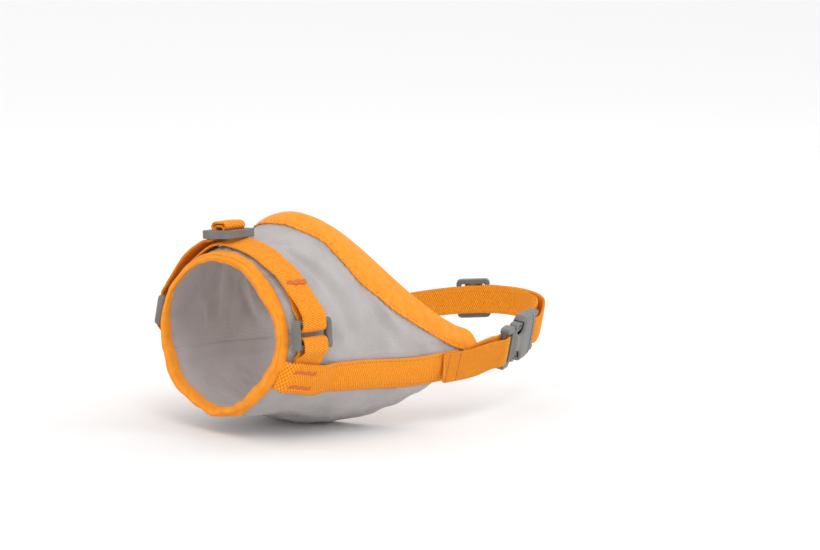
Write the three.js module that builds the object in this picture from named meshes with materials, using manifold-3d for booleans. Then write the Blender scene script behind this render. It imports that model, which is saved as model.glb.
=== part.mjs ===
// Soft sleeve muzzle for a dog: a fabric tube round the snout, webbing straps and plastic hardware.
// Millimetres. +Z is up, -Y is where the snout points, +X is the dog's left.
// The origin lies in the front opening, on the muzzle's middle plane.
import * as THREE from "three";
import { mergeVertices } from "three/addons/utils/BufferGeometryUtils.js";
import Module from "manifold-3d";

const wasm = await Module();
wasm.setup();

// ---- driving dimensions -------------------------------------------------
const GAP = 0.3; // clearance between touching pieces
const FABRIC = 0.8; // thickness of the grey sleeve fabric
const WEB_W = 15; // webbing width
const WEB_T = 1.3; // webbing thickness
const BINDING_T = 1.1; // thickness of one layer of edge binding
const BINDING_IN = 0.8; // free space between the fabric and a layer of binding
const RIM_DEPTH = 5; // how far the front binding reaches back
const BAND_W = 15; // width of the rear binding
const NOSE_Y = 13.5; // centre of the nose strap, behind the opening
const TACK_T = 0.5; // thickness of a bar tack
const EDGE_IN = 0.6; // how far the fabric stops short of the plane that its binding folds round
const HEM = { depth: 5, thickness: 1.4 }; // rear edge of the chin panel, folded over
const PAST = 1; // how far a cutter reaches past the solid it cuts

// Sleeve section along Y: half width, top, bottom, centre height and how far it is pulled to one side.
const HALF_WIDTH = [[0, 37.3], [10, 41.2], [20, 43.2], [30, 44.5], [60, 47.5], [90, 49.2], [134, 50.4]];
const TOP = [[0, 36.8], [10, 40.8], [20, 43], [40, 48.8], [56, 55], [80, 48.5], [134, 31]];
const BOTTOM = [[0, -38.2], [10, -40.2], [25, -41.5], [50, -48], [65, -50], [105, -47], [134, -45]];
const CENTRE = [[0, 1.5], [12, -0.5], [40, -12.6], [60, -17], [134, -17]];
const SHIFT = [[0, -2.6], [9, -1.2], [56, -1.2], [90, 0]];
// Upper rear edge of the sleeve seen from the side, as Y and height.
const REAR_EDGE = [[53, 55.6], [58, 50.5], [70, 37.6], [87, 20.8], [108, 5.8], [129, -3.8], [134, -12]];
// Height of the jaw straps' middle line along Y.
const STRAP_HEIGHT = [[8, -15], [26, -17.3], [50, -17.7], [95, -20.2], [134, -20.3]];
const CHIN_SIDE_Y = 113; // chin panel's rear edge at the strap
const CHIN_MID_Y = 73; // and under the jaw

const ORANGE = { color: 0xf79a1e, roughness: 0.85, metalness: 0 };
const BINDING = { color: 0xfba22a, roughness: 0.8, metalness: 0 };
const GREY_CLOTH = { color: 0xb9b2b0, roughness: 0.9, metalness: 0 };
const PLASTIC = { color: 0x76736f, roughness: 0.5, metalness: 0 };
const THREAD = { color: 0xe0661a, roughness: 0.9, metalness: 0 };

// ---- small helpers ------------------------------------------------------
const V = (x, y, z) => new THREE.Vector3(x, y, z);
const lerp = THREE.MathUtils.lerp;
const range = (n) => Array.from({ length: n + 1 }, (_, i) => i / n);
const group = new THREE.Group();

// Smooth (monotone cubic) value of a table of [x, value] rows.
function table(rows, x) {
  const last = rows.length - 1;
  if (x <= rows[0][0]) return rows[0][1];
  if (x >= rows[last][0]) return rows[last][1];
  const slope = (i) => (rows[i + 1][1] - rows[i][1]) / (rows[i + 1][0] - rows[i][0]);
  const tangent = (i) => {
    if (i === 0) return slope(0);
    if (i === last) return slope(last - 1);
    const [a, b] = [slope(i - 1), slope(i)];
    return a * b <= 0 ? 0 : (2 * a * b) / (a + b);
  };
  const i = rows.findIndex((row, k) => k < last && x <= rows[k + 1][0]);
  const h = rows[i + 1][0] - rows[i][0];
  const t = (x - rows[i][0]) / h;
  const [m0, m1] = [tangent(i) * h, tangent(i + 1) * h];
  const [p0, p1] = [rows[i][1], rows[i + 1][1]];
  return (
    (2 * t ** 3 - 3 * t ** 2 + 1) * p0 +
    (t ** 3 - 2 * t ** 2 + t) * m0 +
    (-2 * t ** 3 + 3 * t ** 2) * p1 +
    (t ** 3 - t ** 2) * m1
  );
}

function addMesh(name, geometry, finish, parent = group) {
  const mesh = new THREE.Mesh(geometry, new THREE.MeshStandardMaterial(finish));
  mesh.name = name;
  parent.add(mesh);
  return mesh;
}

// Closed geometry from points and triangles, turned so that its faces point out.
function closedGeometry(points, triangles) {
  let volume = 0;
  for (let i = 0; i < triangles.length; i += 3) {
    const [a, b, c] = [points[triangles[i]], points[triangles[i + 1]], points[triangles[i + 2]]];
    volume += a.dot(b.clone().cross(c));
  }
  const order = volume > 0 ? triangles : triangles.slice().reverse();
  const geometry = new THREE.BufferGeometry().setFromPoints(points);
  geometry.setIndex(order);
  geometry.computeVertexNormals();
  return geometry;
}

// Solid through a row of sections. A section is { outer, inner }: two lines of points of equal length.
function loft(sections, cyclic = false) {
  const points = [];
  const triangles = [];
  const n = sections[0].outer.length;
  const ring = 2 * n;
  for (const s of sections) points.push(...s.outer, ...s.inner.slice().reverse());
  const quad = (a, b, c, d) => triangles.push(a, b, c, a, c, d);
  const steps = cyclic ? sections.length : sections.length - 1;
  for (let i = 0; i < steps; i++) {
    const here = i * ring;
    const next = ((i + 1) % sections.length) * ring;
    for (let k = 0; k < ring; k++) {
      const l = (k + 1) % ring;
      quad(here + k, here + l, next + l, next + k);
    }
  }
  if (!cyclic) {
    const end = (sections.length - 1) * ring;
    for (let k = 0; k < n - 1; k++) {
      const [p, q, r, s] = [k, k + 1, ring - 2 - k, ring - 1 - k];
      quad(p, s, r, q);
      quad(end + p, end + q, end + r, end + s);
    }
  }
  return closedGeometry(points, triangles);
}

// Flat webbing along a line of points. up(i) is the direction of its width at point i.
function ribbon(points, up, width = WEB_W, thickness = WEB_T) {
  const sections = points.map((p, i) => {
    const before = points[Math.max(i - 1, 0)];
    const after = points[Math.min(i + 1, points.length - 1)];
    const along = after.clone().sub(before).normalize();
    const wide = up(i).clone();
    wide.addScaledVector(along, -wide.dot(along)).normalize();
    const out = along.clone().cross(wide);
    const side = (w, t) => p.clone().addScaledVector(wide, w * width).addScaledVector(out, t * thickness);
    return { outer: [side(-0.5, 0.5), side(0.5, 0.5)], inner: [side(-0.5, -0.5), side(0.5, -0.5)] };
  });
  return loft(sections);
}

// Points of a smooth curve through the given ones, with a step count.
function curve(points, steps) {
  return new THREE.CatmullRomCurve3(points, false, "centripetal").getPoints(steps);
}

// Points round a centre in the plane of directions a and b, between two angles in degrees.
function arc(centre, a, b, radius, from, to, steps) {
  return range(steps).map((f) => {
    const angle = THREE.MathUtils.degToRad(lerp(from, to, f));
    return centre
      .clone()
      .addScaledVector(a, radius * Math.cos(angle))
      .addScaledVector(b, radius * Math.sin(angle));
  });
}

// ---- the sleeve's surface -----------------------------------------------
// angle 0 is the dog's left side, 90 degrees the bridge of the nose.
function skin(y, angle) {
  const centre = table(CENTRE, y);
  const s = Math.sin(angle);
  const reach = s > 0 ? table(TOP, y) - centre : centre - table(BOTTOM, y);
  return V(table(SHIFT, y) + table(HALF_WIDTH, y) * Math.cos(angle), y, centre + reach * s);
}

function skinNormal(y, angle) {
  const step = 0.01;
  const round = skin(y, angle + step).sub(skin(y, angle - step));
  const back = skin(y + step, angle).sub(skin(y - step, angle));
  return back.cross(round).normalize();
}

// Direction of the surface straight back from a point.
function slopeAt(y, angle) {
  return skin(y + 1, angle).sub(skin(y - 1, angle)).normalize();
}

// The same beside a point of the nose strap or of a ring's loop.
function slopeNear(p) {
  const centre = table(CENTRE, NOSE_Y);
  const reach = p.z > centre ? table(TOP, NOSE_Y) - centre : centre - table(BOTTOM, NOSE_Y);
  const sideways = (p.x - table(SHIFT, NOSE_Y)) / table(HALF_WIDTH, NOSE_Y);
  return slopeAt(NOSE_Y, Math.atan2((p.z - centre) / reach, sideways));
}

function sleeve(y, angle, offset) {
  return skin(y, angle).addScaledVector(skinNormal(y, angle), offset);
}

// The angle on the left side at which the sleeve reaches a height.
function angleAt(y, z) {
  const centre = table(CENTRE, y);
  const reach = z > centre ? table(TOP, y) - centre : centre - table(BOTTOM, y);
  return Math.asin(THREE.MathUtils.clamp((z - centre) / reach, -1, 1));
}

// Y of the upper rear edge at an angle: where the surface meets the edge line of the side view.
function rearEdgeY(angle) {
  const up = angle > Math.PI / 2 ? Math.PI - angle : angle;
  let low = REAR_EDGE[0][0];
  let high = REAR_EDGE[REAR_EDGE.length - 1][0];
  for (let i = 0; i < 30; i++) {
    const y = (low + high) / 2;
    if (skin(y, up).z > table(REAR_EDGE, y)) high = y;
    else low = y;
  }
  return (low + high) / 2;
}

const strapZ = (y) => table(STRAP_HEIGHT, y);

// Y of the chin panel's rear edge at an angle below the straps.
function chinEdgeY(angle) {
  return lerp(CHIN_MID_Y, CHIN_SIDE_Y, Math.cos(angle) ** 2);
}

// ---- sleeve panels ------------------------------------------------------
const mirror = (angle) => Math.PI - angle;

// A fabric panel between two edges. angleOf(u, y) sweeps it, rearOf(angle) ends it.
function panel(angleOf, rearOf, stepsRound, stepsBack, thicknessAt = () => FABRIC) {
  const sections = range(stepsRound).map((u) => {
    let rear = rearOf(angleOf(u, 90));
    rear = rearOf(angleOf(u, rear));
    const line = (side) =>
      range(stepsBack).map((v) => {
        const y = lerp(EDGE_IN, rear, v);
        return sleeve(y, angleOf(u, y), (side * thicknessAt(rear - y)) / 2);
      });
    return { outer: line(1), inner: line(-1) };
  });
  return loft(sections);
}

const upperStart = (y) => angleAt(y, strapZ(y) + GAP);
const lowerStart = (y) => angleAt(y, strapZ(y) - GAP);
addMesh(
  "nose_panel",
  panel(
    (u, y) => lerp(upperStart(y), mirror(upperStart(y)), u),
    (angle) => rearEdgeY(angle) - EDGE_IN,
    28,
    10,
  ),
  GREY_CLOTH,
);
const hem = (fromEdge) => (fromEdge < HEM.depth ? HEM.thickness : FABRIC);
addMesh(
  "chin_panel",
  panel(
    (u, y) => lerp(lowerStart(y), -Math.PI - lowerStart(y), u),
    chinEdgeY,
    20,
    12,
    hem,
  ),
  GREY_CLOTH,
);

// ---- edge bindings ------------------------------------------------------
// U-shaped section that wraps an edge. place(back, offset) puts a point `back` behind the fold.
function bindingSection(place, depth) {
  const middle = BINDING_IN + FABRIC / 2 + BINDING_T / 2;
  const line = (radius, diagonal = radius * Math.SQRT1_2) => [
    place(depth, -radius),
    place(depth / 2, -radius),
    place(0, -radius),
    place(-diagonal, -diagonal),
    place(-radius, 0),
    place(-diagonal, diagonal),
    place(0, radius),
    place(depth / 2, radius),
    place(depth, radius),
  ];
  return { outer: line(middle + BINDING_T / 2), inner: line(middle - BINDING_T / 2) };
}

const rimSteps = 40;
addMesh(
  "front_binding",
  loft(
    range(rimSteps)
      .slice(0, rimSteps)
      .map((u) => {
        const angle = 2 * Math.PI * u;
        return bindingSection((back, offset) => sleeve(back, angle, offset), RIM_DEPTH);
      }),
    true,
  ),
  BINDING,
);

const BAND_END_Y = 126; // where the band's ends meet the jaw straps
const BAND_END_GAP = 1; // height left between the band's ends and the jaw straps
const LEAST_SLANT = 0.4; // keeps the band from running too far forward where its edge is steep
const bandStart = angleAt(BAND_END_Y, strapZ(BAND_END_Y) + WEB_W / 2 + BAND_END_GAP);
addMesh(
  "rear_binding",
  loft(
    range(32).map((u) => {
      const angle = lerp(bandStart, mirror(bandStart), u);
      const edge = rearEdgeY(angle);
      const beside = angle + 0.02;
      const near = rearEdgeY(beside);
      const along = skin(edge, angle).distanceTo(skin(near, beside));
      const slant = Math.sqrt(Math.max(LEAST_SLANT ** 2, 1 - ((edge - near) / along) ** 2));
      const depth = BAND_W / slant;
      return bindingSection((back, offset) => sleeve(edge - back, angle, offset), depth);
    }),
  ),
  BINDING,
);

// ---- jaw straps ---------------------------------------------------------
// Webbing sewn along the sleeve. It rises over the sewn ends of the ring loops near the front.
const LAYER = WEB_T + GAP;
const ON_SKIN = FABRIC / 2 + 2 * GAP + WEB_T / 2; // offset of the first layer of webbing
const LOOPS_END_Y = NOSE_Y + WEB_W / 2 + 3; // where the strap starts to come down behind the loops
const DOWN_LENGTH = 14; // and the length over which it does
const OVER_LOOPS = 2 * LAYER + 0.7; // how much higher it lies over a loop's two layers
const jawOffset = (y) =>
  ON_SKIN + OVER_LOOPS * (1 - THREE.MathUtils.smoothstep(y, LOOPS_END_Y, LOOPS_END_Y + DOWN_LENGTH));
const JAW_START = RIM_DEPTH + 0.8; // just behind the front binding
const JAW_END = 121;
const JAW_LEAN = 0.96; // height of the leaning strap over its width

function jawStrap(side) {
  const sections = range(20).map((f) => {
    const y = lerp(JAW_START, JAW_END, f);
    const line = (t) =>
      [-0.5, -0.25, 0, 0.25, 0.5].map((w) => {
        const angle = angleAt(y, strapZ(y) + w * WEB_W * JAW_LEAN);
        return sleeve(y, side > 0 ? angle : mirror(angle), jawOffset(y) + t * WEB_T);
      });
    return { outer: line(0.5), inner: line(-0.5) };
  });
  return loft(sections);
}
addMesh("side_strap_left", jawStrap(1), ORANGE);
addMesh("side_strap_right", jawStrap(-1), ORANGE);

// ---- rings on the cheeks ------------------------------------------------
const RING_Z = 5.2; // height of the ring's middle
const RING_BAR_R = 1.5;
const RING_BAR_REACH = 6; // from the ring's middle to each bar's centre
const RING_RAIL = { height: 15, width: 3.6, depth: 4.4, corner: 1.6, bevel: 0.6 };
const RING_LIFT = 0.5; // extra room, because the sleeve curves away from the flat ring
const RING_OFFSET = ON_SKIN + WEB_T / 2 + GAP + RING_BAR_R + RING_LIFT; // its middle plane above the skin
const FOLD_R = RING_BAR_R + GAP + WEB_T / 2; // middle of webbing folded round a bar
const RING_SLACK = 1.9; // how far the fold hangs off its bar
const INTO_RAIL = 1; // how far the end of a webbing bar goes into its rail

// Frame of a ring: its middle and its directions along Y, up round the sleeve, and outwards.
function ringFrame(side) {
  const angle = side > 0 ? angleAt(NOSE_Y, RING_Z) : mirror(angleAt(NOSE_Y, RING_Z));
  const out = skinNormal(NOSE_Y, angle);
  const step = side * 0.01;
  const up = skin(NOSE_Y, angle + step).sub(skin(NOSE_Y, angle - step)).normalize();
  const back = up.clone().cross(out).multiplyScalar(side);
  return { middle: sleeve(NOSE_Y, angle, RING_OFFSET), up, out, back };
}

function solidOf(geometry, matrix = new THREE.Matrix4()) {
  const bare = geometry.index ? geometry.toNonIndexed() : geometry.clone();
  bare.deleteAttribute("normal");
  bare.deleteAttribute("uv");
  bare.applyMatrix4(matrix);
  const merged = mergeVertices(bare, 1e-4);
  return new wasm.Manifold(
    new wasm.Mesh({
      numProp: 3,
      vertProperties: merged.attributes.position.array,
      triVerts: new Uint32Array(merged.index.array),
    }),
  );
}

function geometryOf(solid) {
  const mesh = solid.getMesh();
  const geometry = new THREE.BufferGeometry();
  const position = new Float32Array((mesh.vertProperties.length / mesh.numProp) * 3);
  for (let i = 0; i < position.length / 3; i++)
    for (let k = 0; k < 3; k++) position[3 * i + k] = mesh.vertProperties[i * mesh.numProp + k];
  geometry.setAttribute("position", new THREE.BufferAttribute(position, 3));
  geometry.setIndex(Array.from(mesh.triVerts));
  geometry.computeVertexNormals();
  return geometry;
}

const box = (x, y, z, at = V(0, 0, 0)) =>
  solidOf(new THREE.BoxGeometry(x, y, z), new THREE.Matrix4().makeTranslation(at));

// Round bar along local Y.
const bar = (radius, length, at = V(0, 0, 0), sides = 16) =>
  solidOf(
    new THREE.CylinderGeometry(radius, radius, length, sides),
    new THREE.Matrix4().makeTranslation(at),
  );

// Plate with the given outline in the local XY plane, centred on z = 0.
function plate(outline, thickness, bevel = 0) {
  const shape = new THREE.Shape(outline.map(([x, y]) => new THREE.Vector2(x, y)));
  const geometry = new THREE.ExtrudeGeometry(shape, {
    depth: thickness - 2 * bevel,
    bevelEnabled: bevel > 0,
    bevelThickness: bevel,
    bevelSize: bevel,
    bevelSegments: 1,
    bevelOffset: -bevel,
  });
  return solidOf(geometry, new THREE.Matrix4().makeTranslation(0, 0, bevel - thickness / 2));
}

// Rectangle with round corners, as an outline.
function roundRect(width, height, radius, steps = 4) {
  const corners = [[1, 1], [-1, 1], [-1, -1], [1, -1]];
  return corners.flatMap(([sx, sy], quarter) =>
    range(steps).map((f) => {
      const angle = ((quarter + f) * Math.PI) / 2;
      return [
        sx * (width / 2 - radius) + radius * Math.cos(angle),
        sy * (height / 2 - radius) + radius * Math.sin(angle),
      ];
    }),
  );
}

// Local X runs up round the sleeve, local Y along the bars, local Z out.
function ringSolid() {
  const half = WEB_W / 2 + 0.5;
  const { height, width, depth, corner, bevel } = RING_RAIL;
  const barLength = 2 * (half + INTO_RAIL);
  let solid = bar(RING_BAR_R, barLength, V(RING_BAR_REACH, 0, 0));
  solid = solid.add(bar(RING_BAR_R, barLength, V(-RING_BAR_REACH, 0, 0)));
  for (const end of [1, -1]) {
    const rail = plate(roundRect(height, width, corner), depth, bevel);
    solid = solid.add(rail.translate([0, end * (half + width / 2), 0]));
  }
  return geometryOf(solid);
}

function placed(middle, x, y, z) {
  const frame = new THREE.Group();
  frame.applyMatrix4(new THREE.Matrix4().makeBasis(x, y, z).setPosition(middle));
  group.add(frame);
  return frame;
}

const BESIDE_BAR = 1.2; // how far past its bar the webbing still runs level with the fold
// Points of webbing on either side of a ring's bar and the fold round it. end is 1 for the upper bar.
function foldRoundBar({ middle, up, out }, end) {
  const at = (along, away) =>
    middle.clone().addScaledVector(up, end * along).addScaledVector(out, away);
  const past = RING_BAR_REACH + RING_BAR_R + BESIDE_BAR;
  const fold = at(RING_BAR_REACH - RING_SLACK, 0);
  const inwards = up.clone().multiplyScalar(-end);
  const turn = arc(fold, inwards, out, FOLD_R, -90, 90, 8);
  return [at(past, -FOLD_R), ...turn, at(past, FOLD_R)];
}

// Webbing loop from under the jaw strap, round the ring's lower bar and back.
const LOOP_HEIGHTS = [-21, -17, -12, -7.4];
function ringLoop(side) {
  const layer = (offset) =>
    LOOP_HEIGHTS.map((z) => {
      const angle = angleAt(NOSE_Y, z);
      return sleeve(NOSE_Y, side > 0 ? angle : mirror(angle), offset);
    });
  const inner = layer(ON_SKIN);
  const outer = layer(ON_SKIN + LAYER).reverse();
  const frame = ringFrame(side);
  const points = [...inner, ...foldRoundBar(frame, -1), ...outer];
  return ribbon(points, (i) => (points[i].z < -RING_Z ? slopeNear(points[i]) : frame.back));
}

for (const [side, name] of [[1, "left"], [-1, "right"]]) {
  const { middle, up, out } = ringFrame(side);
  const across = out.clone().cross(up);
  addMesh(`ring_${name}`, ringSolid(), PLASTIC, placed(middle, up, across, out));
  addMesh(`ring_loop_${name}`, ringLoop(side), ORANGE);
}

// ---- nose strap and its slider ------------------------------------------
// Slider frame: middle, direction along the strap (dog's right to left), and its sizes.
const SLIDER = {
  length: 18, width: 21, depth: 4.2, barWidth: 2.6, rail: 2.6, slotEdge: 2.6, corner: 2.2, bevel: 0.5,
};
const SLIDER_TILT = THREE.MathUtils.degToRad(6.6);
const SLIDER_MIDDLE = V(-12.8, NOSE_Y + 0.5, 47.5);

// Local X along the strap, local Y across it, local Z out.
function sliderSolid() {
  const { length, width, depth, barWidth, rail, slotEdge, corner, bevel } = SLIDER;
  const slot = length / 2 - barWidth / 2 - rail;
  let solid = plate(roundRect(length, width, corner), depth, bevel);
  for (const end of [1, -1]) {
    const hole = box(slot, width - 2 * slotEdge, depth + 2 * PAST);
    solid = solid.subtract(hole.translate([end * (barWidth / 2 + slot / 2), 0, 0]));
  }
  return geometryOf(solid);
}

const TURN_RISE = 3; // how far the turn of webbing stands above the slider
// Turn of webbing over the slider's centre bar, open below.
function sliderTurn() {
  const { depth, barWidth } = SLIDER;
  const inside = barWidth / 2 + GAP + WEB_T / 2;
  const top = depth / 2 + TURN_RISE;
  const half = [V(inside, 0, -1.2), V(inside, 0, 1), V(inside + 1, 0, top - 1.2)];
  const otherHalf = half.map((p) => V(-p.x, 0, p.z));
  const points = curve([...otherHalf, V(0, 0, top), ...half.reverse()], 16);
  return ribbon(points, () => V(0, 1, 0));
}

const sliderAlong = V(Math.cos(SLIDER_TILT), 0, Math.sin(SLIDER_TILT));
const sliderOut = V(-Math.sin(SLIDER_TILT), 0, Math.cos(SLIDER_TILT));
const noseSlider = placed(SLIDER_MIDDLE, sliderAlong, V(0, 1, 0), sliderOut);
addMesh("nose_slider", sliderSolid(), PLASTIC, noseSlider);
addMesh("nose_slider_turn", sliderTurn(), ORANGE, noseSlider);

// Webbing that passes under an end of a slider and stands in the slot beside it.
const BELOW_SLIDER = -(SLIDER.depth / 2 + GAP + WEB_T / 2 + 0.2);
const SLOT_X = SLIDER.length / 2 - SLIDER.rail - 2;
const intoSlot = (local, end) => [
  local(end * (SLOT_X + 4.6), BELOW_SLIDER),
  local(end * (SLOT_X + 2.6), BELOW_SLIDER),
  local(end * (SLOT_X + 0.5), BELOW_SLIDER + 0.6),
  local(end * SLOT_X, -1),
];

const TACK_Z = 26; // height of the bar tack above the left ring
const OVER_RING_Z = RING_Z + 11; // where the strap comes back to the skin above a ring
const BULGE = { height: 31, offset: 8 }; // the way back to the slider stands off the sleeve here
const UNDER_SLIDER = { angle: 1.88, spread: 0.3, rise: 0.6 }; // lift of the strap below the slider
function noseStrap() {
  const at = (angle, offset) => sleeve(NOSE_Y, angle, offset);
  const tack = angleAt(NOSE_Y, TACK_Z);
  const ring = angleAt(NOSE_Y, OVER_RING_Z);
  const sewn = range(3).map((f) => at(lerp(tack, ring, f), ON_SKIN));
  const leftTurn = foldRoundBar(ringFrame(1), 1);
  const over = range(17).map((f) => {
    const angle = lerp(lerp(ring, tack, 0.4), mirror(ring), f);
    const aside = (angle - UNDER_SLIDER.angle) / UNDER_SLIDER.spread;
    const underSlider = UNDER_SLIDER.rise * Math.exp(-(aside ** 2));
    const doubled = Math.max(0, 1 - Math.max(0, f * 6 - 0.6));
    return at(angle, ON_SKIN + LAYER * doubled + underSlider);
  });
  const rightTurn = foldRoundBar(ringFrame(-1), 1);
  const bulge = at(mirror(angleAt(NOSE_Y, BULGE.height)), BULGE.offset);
  const local = (along, out) =>
    SLIDER_MIDDLE.clone()
      .addScaledVector(sliderAlong, along)
      .addScaledVector(sliderOut, out);
  const end = SLIDER.length / 2;
  const back = curve(
    [rightTurn.pop(), bulge, local(-end - 2.5, BELOW_SLIDER - 0.6), ...intoSlot(local, -1)],
    16,
  );
  const points = [...sewn, ...leftTurn, ...over, ...rightTurn, ...back];
  const flat = (i) => THREE.MathUtils.smoothstep(i, points.length - 12, points.length - 6);
  const wide = (p) => (p.z < OVER_RING_Z + 3 ? ringFrame(Math.sign(p.x)).back : slopeNear(p));
  return ribbon(points, (i) => wide(points[i]).lerp(V(0, 1, 0), flat(i)));
}
addMesh("nose_strap", noseStrap(), ORANGE);

// ---- buckle -------------------------------------------------------------
// Local X runs from the socket's webbing bar to the latch's, local Y up, local Z away from the neck.
const BUCKLE_AT = V(48.2, 163, -17.1);
const BUCKLE_ALONG = V(-0.317, 0.945, 0.093).normalize();
const BUCKLE_OUT = V(0.933, 0.329, -0.158).normalize();
const BUCKLE_UP = BUCKLE_OUT.clone().cross(BUCKLE_ALONG).normalize();
BUCKLE_OUT.copy(BUCKLE_ALONG).cross(BUCKLE_UP);
const BUCKLE_T = 8.4; // body thickness
const END_T = 5; // thickness of the webbing ends
const BAR_R = 1.5;
const CAVITY = { half: 9.8, depth: 5.4, from: 9 }; // half width, thickness, and its blind end
const MOUTH = { from: 23, to: 34, half: 12.4 }; // band that the prongs catch behind
const LATCH = { face: 34.6, bar: 45, half: 12 };
const PRONG = { pivotX: 33, pivotY: 8.1, knuckle: 1.3, thickness: 4.4 };
const TONGUE = { from: 14, half: 1.5, thickness: 4.4 };
const END_HALF = 11; // half width across the webbing ends
const RAIL_IN = 8; // inner half width between the rails
const END_CORNER = 1.2; // corner radius of the ends' rails and of the socket's mouth
const END_BEVEL = 0.5;
const BUCKLE_BEVEL = 0.8;
const POCKET = { length: 6, width: 3.2, depth: 2.6, ys: [-5, 0, 5] }; // openings in the socket's blind end

const mirrored = (half) => [...half, ...half.map(([x, y]) => [x, -y]).reverse()];

// Frame that holds a webbing bar at x = at, reaching to x = root.
function webbingEnd(at, root) {
  let solid = bar(BAR_R, 2 * (RAIL_IN + INTO_RAIL), V(at, 0, 0));
  const outer = at + Math.sign(at - root) * BAR_R;
  const middle = (outer + root) / 2;
  for (const side of [1, -1]) {
    const outline = roundRect(Math.abs(outer - root), END_HALF - RAIL_IN, END_CORNER);
    const rail = plate(outline, END_T, END_BEVEL);
    solid = solid.add(rail.translate([middle, (side * (END_HALF + RAIL_IN)) / 2, 0]));
  }
  return solid;
}

function socket() {
  const { half } = MOUTH;
  const side = [
    [6.4, END_HALF], [8.6, END_HALF - 0.4], [10.4, 9], [12, 6.8], [14, 5.6], [17.5, 5.5], [20, 6.6],
    [21.4, 8.6], [22.8, 11], [25, half], [MOUTH.to - END_CORNER, half],
    [MOUTH.to, half - END_CORNER],
  ];
  let solid = plate(mirrored(side), BUCKLE_T, BUCKLE_BEVEL).add(webbingEnd(0, 8));
  const { from, depth } = CAVITY;
  const length = MOUTH.to + 2 * PAST - from;
  solid = solid.subtract(box(length, 2 * CAVITY.half, depth, V(from + length / 2, 0, 0)));
  for (const y of POCKET.ys)
    solid = solid.subtract(box(POCKET.length, POCKET.width, POCKET.depth, V(from - PAST, y, 0)));
  return geometryOf(solid);
}

function latch() {
  const { face, half } = LATCH;
  const side = [
    [face, half - END_CORNER], [face + END_CORNER, half], [face + 3.4, half], [face + 5.4, END_HALF],
  ];
  let solid = plate(mirrored(side), BUCKLE_T, BUCKLE_BEVEL).add(webbingEnd(LATCH.bar, face + 4));
  const length = face + 2 * PAST - TONGUE.from;
  solid = solid.add(
    box(length, 2 * TONGUE.half, TONGUE.thickness, V(TONGUE.from + length / 2, 0, 0)),
  );
  return geometryOf(solid);
}

// Flexing arm with its catch. The ramp is low enough for the arm to bend in as the latch is drawn out.
function prong(side) {
  const outline = [
    [32, 9.3], [23, 9.4], [21, 9.74], [19, 9.97], [17, 10.2], [15.2, 10.45], [13.4, 10.1], [12.3, 9],
    [12.2, 7.4], [13.4, 6.1], [20, 6], [23, 7], [32, 7],
  ];
  const turned = outline.map(([x, y]) => [x, side * y]);
  if (side > 0) turned.reverse();
  const knuckle = solidOf(
    new THREE.CylinderGeometry(PRONG.knuckle, PRONG.knuckle, PRONG.thickness, 16),
    new THREE.Matrix4().makeRotationX(Math.PI / 2).setPosition(PRONG.pivotX, side * PRONG.pivotY, 0),
  );
  return geometryOf(plate(turned, PRONG.thickness).add(knuckle));
}

const buckle = placed(BUCKLE_AT, BUCKLE_ALONG, BUCKLE_UP, BUCKLE_OUT);
addMesh("buckle_socket", socket(), PLASTIC, buckle);
addMesh("buckle_latch", latch(), PLASTIC, buckle);
addMesh("latch_prong_upper", prong(1), PLASTIC, buckle);
addMesh("latch_prong_lower", prong(-1), PLASTIC, buckle);

// ---- neck webbing -------------------------------------------------------
const SEWN_Y = 107; // front end of the neck webbing where it is sewn over the jaw straps
const NECK_X = table(HALF_WIDTH, JAW_END) + ON_SKIN + LAYER + 0.5;
const NECK_Z = strapZ(JAW_END); // height of the neck webbing where it is sewn on
const LAID_Y = [119, 131]; // the webbing runs straight back past these
const BAR_FOLD = BAR_R + GAP + WEB_T / 2;
const inBuckle = (x, z) =>
  BUCKLE_AT.clone().addScaledVector(BUCKLE_ALONG, x).addScaledVector(BUCKLE_OUT, z);
const UP = V(0, 0, 1);
// Width direction: upright at the cheeks and behind the neck, in line with the buckle beside it.
const neckUp = (p) => {
  const { smoothstep } = THREE.MathUtils;
  const share = smoothstep(p.x, 0, 30) * smoothstep(p.y, 128, 158);
  return UP.clone().lerp(BUCKLE_UP, share).normalize();
};

function buckleStrap() {
  const outer = curve(
    [V(NECK_X, SEWN_Y, NECK_Z), V(NECK_X, LAID_Y[0], NECK_Z), V(NECK_X, LAID_Y[1], NECK_Z + 0.4),
      V(NECK_X - 0.1, 147, NECK_Z + 2.3), inBuckle(-5, 2.8), inBuckle(0, BAR_FOLD)],
    16,
  );
  const turn = arc(BUCKLE_AT, BUCKLE_ALONG, BUCKLE_OUT, BAR_FOLD, 90, -90, 8).slice(1);
  const inner = curve(
    [turn[turn.length - 1], inBuckle(-5, -2.9), V(NECK_X - 4, 150, NECK_Z + 3),
      V(NECK_X - LAYER - 1.6, 139, NECK_Z + 1.4)],
    8,
  ).slice(1);
  const points = [...outer, ...turn, ...inner];
  return ribbon(points, (i) => neckUp(points[i]));
}
addMesh("buckle_strap", buckleStrap(), ORANGE);

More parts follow.
